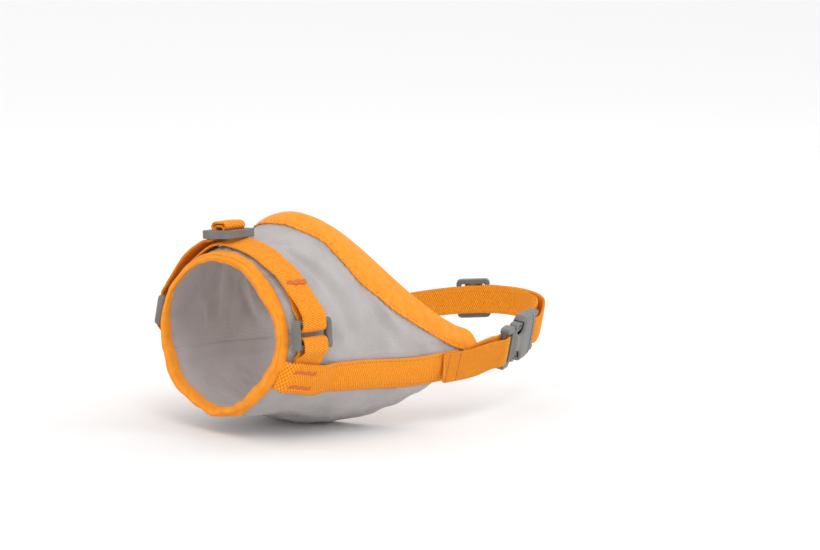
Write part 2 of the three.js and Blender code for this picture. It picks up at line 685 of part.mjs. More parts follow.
// Run of the neck strap from the right cheek, round the back of the neck, to the latch.
const neckRun = new THREE.CatmullRomCurve3(
  [V(-NECK_X, SEWN_Y, NECK_Z), V(-NECK_X, LAID_Y[0], NECK_Z), V(-NECK_X, LAID_Y[1], NECK_Z + 0.4),
    V(-52.2, 150, -17), V(-47.5, 178, -13.6), V(-39, 201, -10.4), V(-26, 219, -7.6),
    V(-12, 228.5, -6), V(2, 231.5, -5.4),
    V(15, 228.6, -6), V(25.5, 220.5, -7.5), inBuckle(LATCH.bar + 6, -2.9), inBuckle(LATCH.bar, -BAR_FOLD)],
  false,
  "centripetal",
);
const NECK_SPLIT = 0.715; // where the strap's first length ends, past the slider
const SLIDER_AT = 0.655;
const run = (from, to, steps) => range(steps).map((f) => neckRun.getPointAt(lerp(from, to, f)));
const neckPoints = run(0, NECK_SPLIT, 44);
addMesh("neck_strap", ribbon(neckPoints, (i) => neckUp(neckPoints[i])), ORANGE);

const sliderTangent = neckRun.getTangentAt(SLIDER_AT).normalize();
const sliderUp = UP.clone().addScaledVector(sliderTangent, -UP.dot(sliderTangent)).normalize();
const sliderAway = sliderTangent.clone().cross(sliderUp).multiplyScalar(-1);
const SLIDER_RISE = SLIDER.depth / 2 + 1.5 * WEB_T + 3 * GAP; // slider's middle above the strap's
const neckSliderAt = neckRun.getPointAt(SLIDER_AT).addScaledVector(sliderAway, SLIDER_RISE);
const neckSlider = placed(neckSliderAt, sliderTangent, sliderAway.clone().cross(sliderTangent), sliderAway);
addMesh("neck_slider", sliderSolid(), PLASTIC, neckSlider);
addMesh("neck_slider_turn", sliderTurn(), ORANGE, neckSlider);

function latchStrap() {
  const length = neckRun.getLength();
  const inner = run(NECK_SPLIT + GAP / length, 1, 18);
  const centre = inBuckle(LATCH.bar, 0);
  const turn = arc(centre, BUCKLE_ALONG, BUCKLE_OUT, BAR_FOLD, 270, 90, 8).slice(1);
  const outwards = (f, rise) => {
    const tangent = neckRun.getTangentAt(f);
    return neckRun.getPointAt(f).addScaledVector(tangent.cross(neckUp(neckRun.getPointAt(f))), -rise);
  };
  const local = (x, z) => V(x, 0, z).applyMatrix4(neckSlider.matrix);
  const back = curve(
    [turn[turn.length - 1], inBuckle(LATCH.bar + 5, BAR_FOLD + 0.3), outwards(0.88, 4.2),
      outwards(0.8, 3.4), outwards(0.74, 2.4), ...intoSlot(local, 1)],
    26,
  ).slice(1);
  const points = [...inner, ...turn, ...back];
  return ribbon(points, (i) => neckUp(points[i]));
}
addMesh("latch_strap", latchStrap(), ORANGE);

// ---- bar tacks ----------------------------------------------------------
// Raised pad of thread on a strap that lies on the sleeve, between two Y and across part of its width.
function tackOnSleeve(side, y, length, middleZ, width, offset) {
  const sections = range(2).map((f) => {
    const at = y + (f - 0.5) * length;
    const line = (t) =>
      [-0.5, 0, 0.5].map((w) => {
        const angle = angleAt(at, middleZ + w * width);
        return sleeve(at, side > 0 ? angle : mirror(angle), offset + t * TACK_T);
      });
    return { outer: line(0.5), inner: line(-0.5) };
  });
  return loft(sections);
}

const TACK_L = 11; // length of a tack on the sleeve
const TACK_W = 1.8; // and its width
const NECK_TACK_L = 12;
const JAW_TACK_RISE = 3.4; // from the jaw strap's middle to each tack
const NECK_TACK_YS = [SEWN_Y + 2, SEWN_Y + 11];
const ON_WEB = WEB_T / 2 + GAP + TACK_T / 2; // from the webbing's middle to the tack's
for (const [side, name] of [[1, "left"], [-1, "right"]]) {
  const height = jawOffset(JAW_START) + ON_WEB;
  for (const [i, rise] of [JAW_TACK_RISE, -JAW_TACK_RISE].entries()) {
    const tack = tackOnSleeve(side, NOSE_Y, TACK_L, strapZ(NOSE_Y) + rise, TACK_W, height);
    addMesh(`jaw_tack_${name}_${i + 1}`, tack, THREAD);
  }
  for (const [i, y] of NECK_TACK_YS.entries()) {
    const tack = addMesh(
      `neck_tack_${name}_${i + 1}`,
      new THREE.BoxGeometry(TACK_T, TACK_W, NECK_TACK_L),
      THREAD,
    );
    tack.position.set(side * (NECK_X + ON_WEB), y, NECK_Z);
  }
}
const noseTackHeight = ON_SKIN + LAYER + ON_WEB + 0.2;
addMesh("nose_tack_left", tackOnSleeve(1, NOSE_Y, TACK_L, TACK_Z + 1, TACK_W, noseTackHeight), THREAD);

export default group;
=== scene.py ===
"""Soft sleeve muzzle for a dog: ripstop sleeve, bound edges, webbing straps and plastic hardware.

Shapes are worked out in millimetres, in the CAD model's frame: +Z up, -Y the way the snout points,
+X the dog's left, origin in the front opening on the muzzle's middle plane. mesh_object() turns them
into metres.
"""
import math

import bmesh
import bpy
import numpy as np
from mathutils import Matrix, Vector


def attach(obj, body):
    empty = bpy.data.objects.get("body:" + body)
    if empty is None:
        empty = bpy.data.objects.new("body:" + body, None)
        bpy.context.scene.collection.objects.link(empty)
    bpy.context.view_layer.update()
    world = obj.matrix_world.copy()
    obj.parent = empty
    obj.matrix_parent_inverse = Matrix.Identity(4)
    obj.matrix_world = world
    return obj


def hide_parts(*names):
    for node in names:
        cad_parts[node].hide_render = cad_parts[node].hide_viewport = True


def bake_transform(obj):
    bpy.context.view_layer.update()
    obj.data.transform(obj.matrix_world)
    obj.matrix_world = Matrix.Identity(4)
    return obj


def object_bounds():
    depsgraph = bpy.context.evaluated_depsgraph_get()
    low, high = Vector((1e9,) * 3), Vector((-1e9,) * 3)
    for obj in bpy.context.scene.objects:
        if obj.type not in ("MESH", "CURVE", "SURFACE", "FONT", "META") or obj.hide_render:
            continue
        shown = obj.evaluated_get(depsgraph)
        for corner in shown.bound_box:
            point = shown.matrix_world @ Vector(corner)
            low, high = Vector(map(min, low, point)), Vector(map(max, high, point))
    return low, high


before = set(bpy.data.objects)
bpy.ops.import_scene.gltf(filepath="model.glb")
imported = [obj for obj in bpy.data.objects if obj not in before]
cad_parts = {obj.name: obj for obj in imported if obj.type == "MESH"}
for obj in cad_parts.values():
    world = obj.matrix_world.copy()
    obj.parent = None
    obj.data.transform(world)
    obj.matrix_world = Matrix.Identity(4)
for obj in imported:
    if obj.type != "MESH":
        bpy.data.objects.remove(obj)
CAD_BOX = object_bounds()
MM = 0.001

# ---- driving dimensions, as in the CAD model ---------------------------------------------------
FABRIC = 0.8
WEB_W = 15.0
WEB_T = 1.3
GAP = 0.3
LAYER = WEB_T + GAP
ON_SKIN = FABRIC / 2 + GAP + WEB_T / 2 + 0.3
NOSE_Y = 13.5
RIM_DEPTH = 5.0
BAND_W = 15.0
HALF_WIDTH = [(0, 37.3), (10, 41.2), (20, 43.2), (30, 44.5), (60, 47.5), (90, 49.2), (134, 50.4)]
TOP = [(0, 36.8), (10, 40.8), (20, 43), (40, 48.8), (56, 55), (80, 48.5), (134, 31)]
BOTTOM = [(0, -38.2), (10, -40.2), (25, -41.5), (50, -48), (65, -50), (105, -47), (134, -45)]
CENTRE = [(0, 1.5), (12, -0.5), (40, -12.6), (60, -17), (134, -17)]
SHIFT = [(0, -2.6), (9, -1.2), (56, -1.2), (90, 0)]
REAR_EDGE = [(53, 55.6), (58, 50.5), (70, 37.6), (87, 20.8), (108, 5.6), (122, -1.6), (132, -5), (137, -11)]
STRAP_HEIGHT = [(8, -15), (26, -17.3), (50, -17.7), (95, -20.2), (134, -20.3)]
CHIN_SIDE_Y, CHIN_MID_Y = 113.0, 73.0


# ---- numbers and curves ------------------------------------------------------------------------
def table(rows, x):
    """Smooth monotone curve through a few points, as in the CAD model."""
    xs, ys = np.array(rows, float).T
    slope = np.diff(ys) / np.diff(xs)
    inner = np.where(
        slope[:-1] * slope[1:] <= 0,
        0,
        2 * slope[:-1] * slope[1:] / np.where(slope[:-1] + slope[1:] == 0, 1, slope[:-1] + slope[1:]),
    )
    tangent = np.concatenate([[slope[0]], inner, [slope[-1]]])
    x = np.clip(np.asarray(x, float), xs[0], xs[-1])
    i = np.clip(np.searchsorted(xs, x) - 1, 0, len(xs) - 2)
    h = xs[i + 1] - xs[i]
    t = (x - xs[i]) / h
    return (
        (2 * t**3 - 3 * t**2 + 1) * ys[i]
        + (t**3 - 2 * t**2 + t) * tangent[i] * h
        + (3 * t**2 - 2 * t**3) * ys[i + 1]
        + (t**3 - t**2) * tangent[i + 1] * h
    )


def smooth(x, low=0.0, high=1.0):
    t = np.clip((np.asarray(x, float) - low) / (high - low), 0, 1)
    return t * t * (3 - 2 * t)


def unit(v):
    v = np.asarray(v, float)
    return v / np.maximum(np.linalg.norm(v, axis=-1, keepdims=True), 1e-12)


def bell(x, centre, width):
    return np.exp(-(((x - centre) / width) ** 2))


def spline(points, step):
    """Points of a smooth curve through the given ones, about `step` apart."""
    p = np.asarray(points, float)
    p = np.vstack([2 * p[0] - p[1], p, 2 * p[-1] - p[-2]])
    out = []
    for i in range(1, len(p) - 2):
        knots = np.cumsum([0] + [max(np.linalg.norm(p[i + k] - p[i + k - 1]), 1e-6) ** 0.5 for k in range(3)])
        t = np.linspace(knots[1], knots[2], 24, endpoint=False)[:, None]
        a = [
            (knots[k + 1] - t) / (knots[k + 1] - knots[k]) * p[i - 1 + k]
            + (t - knots[k]) / (knots[k + 1] - knots[k]) * p[i + k]
            for k in range(3)
        ]
        b = [
            (knots[k + 2] - t) / (knots[k + 2] - knots[k]) * a[k]
            + (t - knots[k]) / (knots[k + 2] - knots[k]) * a[k + 1]
            for k in range(2)
        ]
        span = knots[2] - knots[1]
        out.append((knots[2] - t) / span * b[0] + (t - knots[1]) / span * b[1])
    return even(np.vstack(out + [p[-2:-1]]), step)


def lengths(points):
    """Length along a line up to each of its points."""
    return np.concatenate([[0], np.cumsum(np.linalg.norm(np.diff(points, axis=0), axis=1))])


def even(points, step):
    """The same line with points at an even spacing of about `step`."""
    along = lengths(points)
    s = np.linspace(0, along[-1], max(2, int(round(along[-1] / step)) + 1))
    return np.column_stack([np.interp(s, along, points[:, k]) for k in range(points.shape[1])])


def relax(points, rounds):
    """Rounds off the corners of a line and keeps its ends."""
    for _ in range(rounds):
        points[1:-1] = (points[:-2] + 2 * points[1:-1] + points[2:]) / 4
    return points


def noise(x, y, seed):
    """Smooth seeded noise in about -1 to 1, of wavelength about 1."""
    local = np.random.default_rng(seed)
    total = np.zeros(np.broadcast(x, y).shape)
    for octave in range(3):
        for _ in range(4):
            angle, phase, f = local.uniform(0, 2 * np.pi), local.uniform(0, 2 * np.pi), 2**octave
            total = total + np.sin(2 * np.pi * f * (x * np.cos(angle) + y * np.sin(angle)) + phase) / (4 * f)
    return total


# ---- the sleeve's surface ----------------------------------------------------------------------
def skin(y, angle):
    """Point of the plain sleeve. angle 0 is the dog's left side and 90 degrees the bridge of the nose."""
    y, angle = np.broadcast_arrays(np.asarray(y, float), np.asarray(angle, float))
    centre, s = table(CENTRE, y), np.sin(angle)
    reach = np.where(s > 0, table(TOP, y) - centre, centre - table(BOTTOM, y))
    return np.stack([table(SHIFT, y) + table(HALF_WIDTH, y) * np.cos(angle), y, centre + reach * s], -1)


def skin_normal(y, angle):
    step = 0.01
    around = skin(y, np.asarray(angle) + step) - skin(y, np.asarray(angle) - step)
    back = skin(np.asarray(y) + step, angle) - skin(np.asarray(y) - step, angle)
    return unit(np.cross(back, around))


def sleeve(y, angle, offset):
    return skin(y, angle) + skin_normal(y, angle) * np.asarray(offset, float)[..., None]


def rise_at(y, z):
    """Height above the section's centre as a share of the sleeve's reach up or down."""
    centre = table(CENTRE, y)
    reach = np.where(z > centre, table(TOP, y) - centre, centre - table(BOTTOM, y))
    return (z - centre) / reach


def angle_at(y, z):
    """Angle on the left side at which the sleeve reaches a height."""
    return np.arcsin(np.clip(rise_at(y, z), -1, 1))


def rear_edge_y(angle):
    """Y of the upper rear edge at an angle."""
    up = np.where(np.asarray(angle) > np.pi / 2, np.pi - np.asarray(angle), np.asarray(angle, float))
    low, high = np.full(up.shape, float(REAR_EDGE[0][0])), np.full(up.shape, float(REAR_EDGE[-1][0]))
    for _ in range(30):
        y = (low + high) / 2
        past = skin(y, up)[..., 2] > table(REAR_EDGE, y)
        high, low = np.where(past, y, high), np.where(past, low, y)
    return (low + high) / 2


def strap_z(y):
    """Height of the jaw straps' middle."""
    return table(STRAP_HEIGHT, y)


def chin_edge_y(angle):
    return CHIN_MID_Y + (CHIN_SIDE_Y - CHIN_MID_Y) * np.cos(angle) ** 2


def angle_near(p):
    """Angle of points near the sleeve."""
    x, y, z = p[..., 0], p[..., 1], p[..., 2]
    return np.arctan2(rise_at(y, z), (x - table(SHIFT, y)) / table(HALF_WIDTH, y))


def slope_near(p):
    """Direction straight back along the sleeve beside points of the nose strap or a ring's loop."""
    angle = angle_near(np.atleast_2d(p) * (1, 0, 1) + (0, NOSE_Y, 0))
    return unit(skin(NOSE_Y + 1, angle) - skin(NOSE_Y - 1, angle))


# ---- meshes ------------------------------------------------------------------------------------
def mesh_object(name, points, faces, material, uvs=None):
    """Object from points in millimetres. uvs are one pair per point, in millimetres of cloth."""
    mesh = bpy.data.meshes.new(name)
    mesh.from_pydata((np.asarray(points, float) * MM).tolist(), [], [list(map(int, f)) for f in faces])
    if uvs is not None:
        layer = mesh.uv_layers.new(name="UVMap")
        loops = np.zeros(len(mesh.loops), np.int32)
        mesh.loops.foreach_get("vertex_index", loops)
        layer.data.foreach_set("uv", np.asarray(uvs, np.float32)[loops].ravel())
    mesh.validate()
    bm = bmesh.new()
    bm.from_mesh(mesh)
    bmesh.ops.recalc_face_normals(bm, faces=bm.faces)
    bm.to_mesh(mesh)
    bm.free()
    mesh.polygons.foreach_set("use_smooth", [True] * len(mesh.polygons))
    obj = bpy.data.objects.new(name, mesh)
    bpy.context.scene.collection.objects.link(obj)
    mesh.materials.append(material)
    return obj


def grid_faces(rows, columns, close_rows=False, close_columns=False):
    """Quads of a grid of points stored row by row."""
    r = np.arange(rows if close_rows else rows - 1)
    c = np.arange(columns if close_columns else columns - 1)
    r, c = np.meshgrid(r, c, indexing="ij")
    here, next_row, beside = r * columns, (r + 1) % rows * columns, (c + 1) % columns
    return np.stack([here + c, here + beside, next_row + beside, next_row + c], -1).reshape(-1, 4)


def tube(name, sections, material, uvs=None, cyclic=False):
    """Closed solid through sections of points: array of sections, points, xyz."""
    rows, columns = sections.shape[:2]
    faces = grid_faces(rows, columns, close_rows=cyclic, close_columns=True).tolist()
    if not cyclic:
        faces.append(list(range(columns)))
        faces.append(list(range((rows - 1) * columns, rows * columns))[::-1])
    flat_uvs = None if uvs is None else uvs.reshape(-1, 2)
    return mesh_object(name, sections.reshape(-1, 3), faces, material, flat_uvs)


# ---- materials ---------------------------------------------------------------------------------
class Shader:
    """A node material under construction. Its methods return output sockets."""

    def __init__(self, name, colour, roughness, sheen=0.0, specular=0.5):
        self.material = bpy.data.materials.new(name)
        self.material.use_nodes = True
        self.tree = self.material.node_tree
        self.bsdf = self.tree.nodes["Principled BSDF"]
        self.bsdf.inputs["Base Color"].default_value = (*colour, 1)
        self.bsdf.inputs["Roughness"].default_value = roughness
        self.bsdf.inputs["Sheen Weight"].default_value = sheen
        self.bsdf.inputs["Sheen Roughness"].default_value = 0.4
        self.bsdf.inputs["Specular IOR Level"].default_value = specular
        self.material.diffuse_color = (*colour, 1)

    def node(self, kind, inputs=None, **settings):
        node = self.tree.nodes.new(kind)
        for key, value in settings.items():
            setattr(node, key, value)
        for key, value in (inputs or {}).items():
            if isinstance(value, bpy.types.NodeSocket):
                self.tree.links.new(value, node.inputs[key])
            else:
                node.inputs[key].default_value = value
        return node

    def math(self, operation, *values):
        return self.node("ShaderNodeMath", dict(enumerate(values)), operation=operation).outputs[0]

    def uv(self):
        """Millimetres along and across the cloth."""
        uv = self.node("ShaderNodeUVMap", uv_map="UVMap").outputs[0]
        split = self.node("ShaderNodeSeparateXYZ", {0: uv})
        return split.outputs[0], split.outputs[1]

    def wave(self, x, pitch, phase=0.0):
        """Sine of a length in millimetres, from 0 to 1."""
        turned = self.math("MULTIPLY_ADD", x, 2 * math.pi / pitch, phase)
        return self.math("MULTIPLY_ADD", self.math("SINE", turned), 0.5, 0.5)

    def noise(self, scale, detail=3.0, vector=None):
        """Noise with features about 1/scale metres across, in object space unless given a vector."""
        where = vector or self.node("ShaderNodeTexCoord").outputs["Object"]
        inputs = {"Vector": where, "Scale": scale, "Detail": detail}
        return self.node("ShaderNodeTexNoise", inputs).outputs["Fac"]

    def ramp(self, factor, stops):
        node = self.node("ShaderNodeValToRGB", {0: factor})
        while len(node.color_ramp.elements) < len(stops):
            node.color_ramp.elements.new(0.5)
        for element, (position, colour) in zip(node.color_ramp.elements, stops):
            element.position = position
            element.color = (*colour, 1)
        return node.outputs[0]

    def blend_colour(self, factor, a, b):
        node = self.node("ShaderNodeMix", data_type="RGBA")
        for socket, value in ((node.inputs[0], factor), (node.inputs[6], a), (node.inputs[7], b)):
            if isinstance(value, bpy.types.NodeSocket):
                self.tree.links.new(value, socket)
            else:
                socket.default_value = value if isinstance(value, float) else (*value, 1)
        return node.outputs[2]

    def colour(self, socket):
        self.tree.links.new(socket, self.bsdf.inputs["Base Color"])

    def roughness(self, factor, low, high):
        node = self.node("ShaderNodeMapRange", {0: factor, 3: low, 4: high})
        self.tree.links.new(node.outputs[0], self.bsdf.inputs["Roughness"])

    def bump(self, height, distance):
        """Adds relief of the given height in millimetres on top of earlier relief."""
        bump = self.node("ShaderNodeBump", {"Height": height, "Distance": distance * MM})
        before = self.bsdf.inputs["Normal"].links
        if before:
            self.tree.links.new(before[0].from_socket, bump.inputs["Normal"])
        self.tree.links.new(bump.outputs[0], self.bsdf.inputs["Normal"])


# The webbing's darkest and palest oranges are painted shade between its ribs and a painted highlight on their
# crests, also reached by random mottle.
ORANGE = (0.86, 0.27, 0.012)
ORANGE_DEEP_AND_SHADE = (0.5, 0.085, 0.003)
ORANGE_PALE_AND_HIGHLIGHT = (1.0, 0.42, 0.035)
TAPE_DEEP, TAPE, TAPE_PALE = (0.76, 0.2, 0.008), (0.9, 0.3, 0.016), (0.95, 0.38, 0.04)
RIB = 1.15  # pitch of the webbing's ribs
FINE_RIB = 0.85
RIPSTOP_GRID, RIPSTOP_WEAVE = 1.15, 0.29  # pitch of the thick threads and of the plain weave


def webbing_material(name, rib=RIB, row=0.0, tint=1.0):
    """Woven webbing with painted shade between its ribs and in its pits, and a painted highlight on the rib
    crests. Where row is given, each row of pits is staggered.
    """
    s = Shader(name, ORANGE, 0.8, sheen=0.08, specular=0.15)
    u, v = s.uv()
    ribs = s.wave(u, rib, math.pi / 2)
    if row:
        along = s.math("MULTIPLY_ADD", ribs, 2.0, -1.0)
        across = s.math("MULTIPLY_ADD", s.wave(v, 2 * row, math.pi / 2), 2.0, -1.0)
        ribs = s.math("MULTIPLY_ADD", s.math("MULTIPLY", along, across), 0.5, 0.5)
    fibres = s.wave(s.math("ADD", s.math("MULTIPLY", u, 0.35), v), rib / 3)
    mottle = s.noise(700.0, 4.0)
    rest = s.math("MULTIPLY_ADD", mottle, 0.38, s.math("MULTIPLY", fibres, 0.12))
    # The rib wave paints shade between the ribs and in the pits and a highlight on the crests.
    shade = s.math("MULTIPLY_ADD", ribs, 0.62, rest)
    stops = [(0.12, ORANGE_DEEP_AND_SHADE), (0.5, ORANGE), (0.9, ORANGE_PALE_AND_HIGHLIGHT)]
    s.colour(s.ramp(shade, [(where, [c * tint for c in colour]) for where, colour in stops]))
    s.bump(ribs, 0.16)
    s.bump(fibres, 0.05)
    s.bump(s.noise(4200.0, 2.0), 0.04)
    s.roughness(mottle, 0.72, 0.9)
    return s.material


def binding_material():
    """Edge binding: smooth tape with a fine diagonal twill."""
    s = Shader("binding", ORANGE, 0.6, sheen=0.06, specular=0.18)
    u, v = s.uv()
    twill = s.wave(s.math("ADD", u, v), 0.62)
    mottle = s.noise(260.0, 4.0)
    shade = s.math("MULTIPLY_ADD", twill, 0.28, s.math("MULTIPLY", mottle, 0.8))
    s.colour(s.ramp(shade, [(0.1, TAPE_DEEP), (0.5, TAPE), (0.95, TAPE_PALE)]))
    s.bump(twill, 0.05)
    s.roughness(mottle, 0.5, 0.7)
    return s.material


def ripstop_material(name, turn):
    """Thin ripstop: a plain weave with a grid of thicker threads every millimetre, turned by an angle."""
    s = Shader(name, (0.5, 0.475, 0.475), 0.72, sheen=0.25, specular=0.3)
    u, v = s.uv()
    c, d = math.cos(turn), math.sin(turn)
    a = s.math("ADD", s.math("MULTIPLY", u, c), s.math("MULTIPLY", v, d))
    b = s.math("SUBTRACT", s.math("MULTIPLY", v, c), s.math("MULTIPLY", u, d))
    grid = s.math("MAXIMUM", *[s.math("POWER", s.wave(x, RIPSTOP_GRID), 10.0) for x in (a, b)])
    weave = s.math("MULTIPLY", s.wave(a, RIPSTOP_WEAVE), s.wave(b, RIPSTOP_WEAVE))
    mottle = s.noise(60.0, 5.0)
    tone = s.ramp(mottle, [(0.25, (0.4, 0.368, 0.362)), (0.75, (0.5, 0.468, 0.465))])
    tone = s.blend_colour(s.math("MULTIPLY", grid, 0.42), tone, (0.33, 0.31, 0.31))
    s.colour(s.blend_colour(s.math("MULTIPLY", weave, 0.18), tone, (0.66, 0.64, 0.64)))
    s.bump(grid, 0.09)
    s.bump(weave, 0.04)
    s.roughness(mottle, 0.62, 0.82)
    return s.material


def plastic_material():
    """Moulded acetal: mid grey, matt, with a fine grain and scuffs."""
    s = Shader("hardware_plastic", (0.155, 0.148, 0.14), 0.42, specular=0.5)
    grain = s.noise(2600.0, 3.0)
    flow = s.noise(120.0, 4.0)
    s.colour(s.ramp(flow, [(0.2, (0.125, 0.119, 0.112)), (0.8, (0.19, 0.182, 0.173))]))
    s.bump(grain, 0.035)
    s.bump(flow, 0.12)
    s.roughness(flow, 0.36, 0.52)
    return s.material


def thread_material():
    s = Shader("sewing_thread", (0.62, 0.12, 0.02), 0.7, sheen=0.3, specular=0.25)
    twist = s.noise(3800.0, 2.0)
    s.colour(s.ramp(twist, [(0.3, (0.45, 0.075, 0.012)), (0.7, (0.85, 0.22, 0.035))]))
    s.bump(twist, 0.08)
    s.roughness(twist, 0.6, 0.85)
    return s.material


MESH_RIB = 1.25
MESH_ROW = 1.2
WEBBING = webbing_material("webbing", row=MESH_ROW)
WEBBING_FINE = webbing_material("webbing_fine", rib=FINE_RIB, tint=0.96)
WEBBING_MESH = webbing_material("webbing_mesh", rib=MESH_RIB, row=MESH_ROW)
BINDING = binding_material()
NOSE_CLOTH = ripstop_material("sleeve_nose", 0.06)
CHIN_CLOTH = ripstop_material("sleeve_chin", math.radians(42))
PLASTIC = plastic_material()
THREAD = thread_material()


def own(obj, body, slot, *nodes):
    """The piece rides on a body and stands for CAD nodes. slot is not used."""
    if body:
        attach(obj, body)
    if nodes:
        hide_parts(*nodes)
    return obj


# ---- webbing -----------------------------------------------------------------------------------
ACROSS = 27  # points across one face of webbing


def across_webbing():
    """Shares of the width, and how full the thickness is at each: rounded off at the selvedges."""
    w = np.linspace(-0.5, 0.5, ACROSS)
    return w, np.sqrt(np.clip(1 - np.abs(1.97 * w) ** 12, 0, 1))


def webbing_sections(points, wide, rib=RIB, relief=0.14, pits=True):
    """Cross sections of woven webbing along a line, with ribs, scalloped edges and rounded sides.
    points are evenly spaced; wide is the direction of the width at each. Returns sections and uvs."""
    along = unit(np.gradient(points, axis=0))
    wide = unit(wide - along * np.sum(wide * along, 1, keepdims=True))
    out = np.cross(along, wide)
    s = lengths(points)
    w, crown = across_webbing()
    scallop = 1 + 0.013 * np.cos(2 * np.pi * s / rib)
    ribs = np.cos(2 * np.pi * s[:, None] / rib) * (np.cos(np.pi * w[None] * WEB_W / MESH_ROW) if pits else 1)
    top = crown[None] * (WEB_T / 2 + relief * ribs)
    bottom = -crown[None] * (WEB_T / 2 + relief * ribs)
    across = w[None] * WEB_W * scallop[:, None]
    x = np.concatenate([across, across[:, -2:0:-1]], 1)
    z = np.concatenate([top, bottom[:, -2:0:-1]], 1)
    sections = points[:, None] + wide[:, None] * x[..., None] + out[:, None] * z[..., None]
    turn = np.concatenate([w, w[-2:0:-1]]) * WEB_W
    uvs = np.stack(np.broadcast_arrays(s[:, None], turn[None]), -1)
    return sections, uvs


def webbing(name, points, wide, material=None, rib=RIB, **options):
    """Closed webbing solid. wide is a direction or a function of the points."""
    points = even(points, rib / 4)
    directions = wide(points) if callable(wide) else np.tile(np.asarray(wide, float), (len(points), 1))
    sections, uvs = webbing_sections(points, directions, rib=rib, **options)
    return tube(name, sections, material or WEBBING, uvs)


def stitches(name, places, directions, normals, length, radius):
    """Short rounded threads lying on cloth, one at each place."""
    rings, sides = 5, 8
    t = np.linspace(-1, 1, rings)
    profile = np.sqrt(np.clip(1 - t**4, 0.05, 1))
    turn = np.linspace(0, 2 * np.pi, sides, endpoint=False)
    points, faces = [], []
    unit_faces = grid_faces(rings, sides, close_columns=True)
    for place, direction, normal in zip(places, unit(directions), unit(normals)):
        side = np.cross(direction, normal)
        sink = -0.5 * radius * np.abs(t) ** 2
        ring = (
            place
            + direction * (t * length / 2)[:, None, None]
            + side * (radius * profile[:, None] * np.cos(turn))[..., None]
            + normal * (radius * profile[:, None] * np.sin(turn) + sink[:, None])[..., None]
        )
        base = len(points) * rings * sides
        points.append(ring.reshape(-1, 3))
        faces.extend((unit_faces + base).tolist())
        faces.append([base + k for k in range(sides)])
        faces.append([base + (rings - 1) * sides + k for k in range(sides)][::-1])
    return mesh_object(name, np.vstack(points), faces, THREAD)


def smoothed(points, step, rounds):
    """Evenly spaced line with its corners rounded over about `rounds` passes."""
    return relax(even(np.asarray(points, float), step), rounds)


# ---- moulded hardware --------------------------------------------------------------------------
def polygon_solid(outline, low, high):
    """Prism over an outline of x, y points, from z = low to z = high."""
    n = len(outline)
    points = [(x, y, z) for z in (low, high) for x, y in outline]
    faces = [[k, (k + 1) % n, n + (k + 1) % n, n + k] for k in range(n)]
    faces += [list(range(n))[::-1], list(range(n, 2 * n))]
    return mesh_object("solid", points, faces, PLASTIC)


def round_rect(width, height, radius, steps=6):
    """Outline of a rectangle with round corners, centred on the origin."""
    out = []
    for quarter, (sx, sy) in enumerate([(1, 1), (-1, 1), (-1, -1), (1, -1)]):
        for angle in np.linspace(quarter, quarter + 1, steps) * np.pi / 2:
            x = sx * (width / 2 - radius) + radius * math.cos(angle)
            out.append((x, sy * (height / 2 - radius) + radius * math.sin(angle)))
    return out


def box_solid(x, y, z, at=(0, 0, 0), radius=0.0):
    """Box centred on a point, with upright edges rounded by radius."""
    r = max(radius, 0.01)
    outline = [(px + at[0], py + at[1]) for px, py in round_rect(x, y, r, 5)]
    return polygon_solid(outline, at[2] - z / 2, at[2] + z / 2)


def rod_solid(radius, y0, y1, x, sides=28):
    """Round bar along y."""
    turn = np.linspace(0, 2 * np.pi, sides, endpoint=False)
    ring = np.stack([x + radius * np.cos(turn), np.zeros(sides), radius * np.sin(turn)], -1)
    return tube("solid", np.stack([ring + (0, y0, 0), ring + (0, y1, 0)]), PLASTIC)


def loft_solid(xs, half_y, half_z, power=5.0, sides=72):
    """Solid along x with superellipse sections of the given half sizes."""
    turn = np.linspace(0, 2 * np.pi, sides, endpoint=False)
    c, s = np.cos(turn), np.sin(turn)
    power = np.broadcast_to(np.asarray(power, float), len(xs))[:, None]
    y = np.sign(c) * np.abs(c) ** (2 / power) * np.asarray(half_y)[:, None]
    z = np.sign(s) * np.abs(s) ** (2 / power) * np.asarray(half_z)[:, None]
    x = np.broadcast_to(np.asarray(xs, float)[:, None], y.shape)
    return tube("solid", np.stack([x, y, z], -1), PLASTIC)


def applied(obj):
    """The object with its modifiers made into its mesh."""
    graph = bpy.context.evaluated_depsgraph_get()
    mesh = bpy.data.meshes.new_from_object(obj.evaluated_get(graph))
    obj.modifiers.clear()
    obj.data = mesh
    return obj


def moulded(name, place, adds, cuts=(), voxel=0.24, rounds=5):
    """One moulding from overlapping solids less the cutters, with its edges softened.
    place is the 4x4 matrix, in millimetres, that puts its local frame on the muzzle."""
    body = adds[0]
    for operation, tools in (("UNION", adds[1:]), ("DIFFERENCE", cuts)):
        for tool in tools:
            step = body.modifiers.new(operation, "BOOLEAN")
            step.operation, step.object, step.solver = operation, tool, "MANIFOLD"
            applied(body)
            bpy.data.objects.remove(tool)
    remesh = body.modifiers.new("even", "REMESH")
    remesh.mode, remesh.voxel_size, remesh.use_smooth_shade = "VOXEL", voxel * MM, True
    soft = body.modifiers.new("soft", "SMOOTH")
    soft.factor, soft.iterations = 0.5, rounds
    applied(body)
    matrix = np.array(place, float)
    matrix[:3, 3] *= MM
    body.data.transform(Matrix(matrix.tolist()))
    body.data.materials.clear()
    body.data.materials.append(PLASTIC)
    body.name = body.data.name = name
    return body


def frame_matrix(origin, x, y, z):
    matrix = np.eye(4)
    matrix[:3, 0], matrix[:3, 1], matrix[:3, 2], matrix[:3, 3] = x, y, z, origin
    return matrix


def local_points(place, points):
    """Points of a local frame on the muzzle."""
    return np.asarray(points, float) @ place[:3, :3].T + place[:3, 3]


# ---- sleeve ------------------------------------------------------------------------------------
CLOTH_T = 0.5  # thickness of the visual cloth
EDGE_IN = 0.6  # how far the cloth stops short of its bound edges
PANEL_LAP = 1.6  # how far each panel passes the other under the jaw strap
HEM_T = 0.8  # extra thickness of the chin panel's rear hem
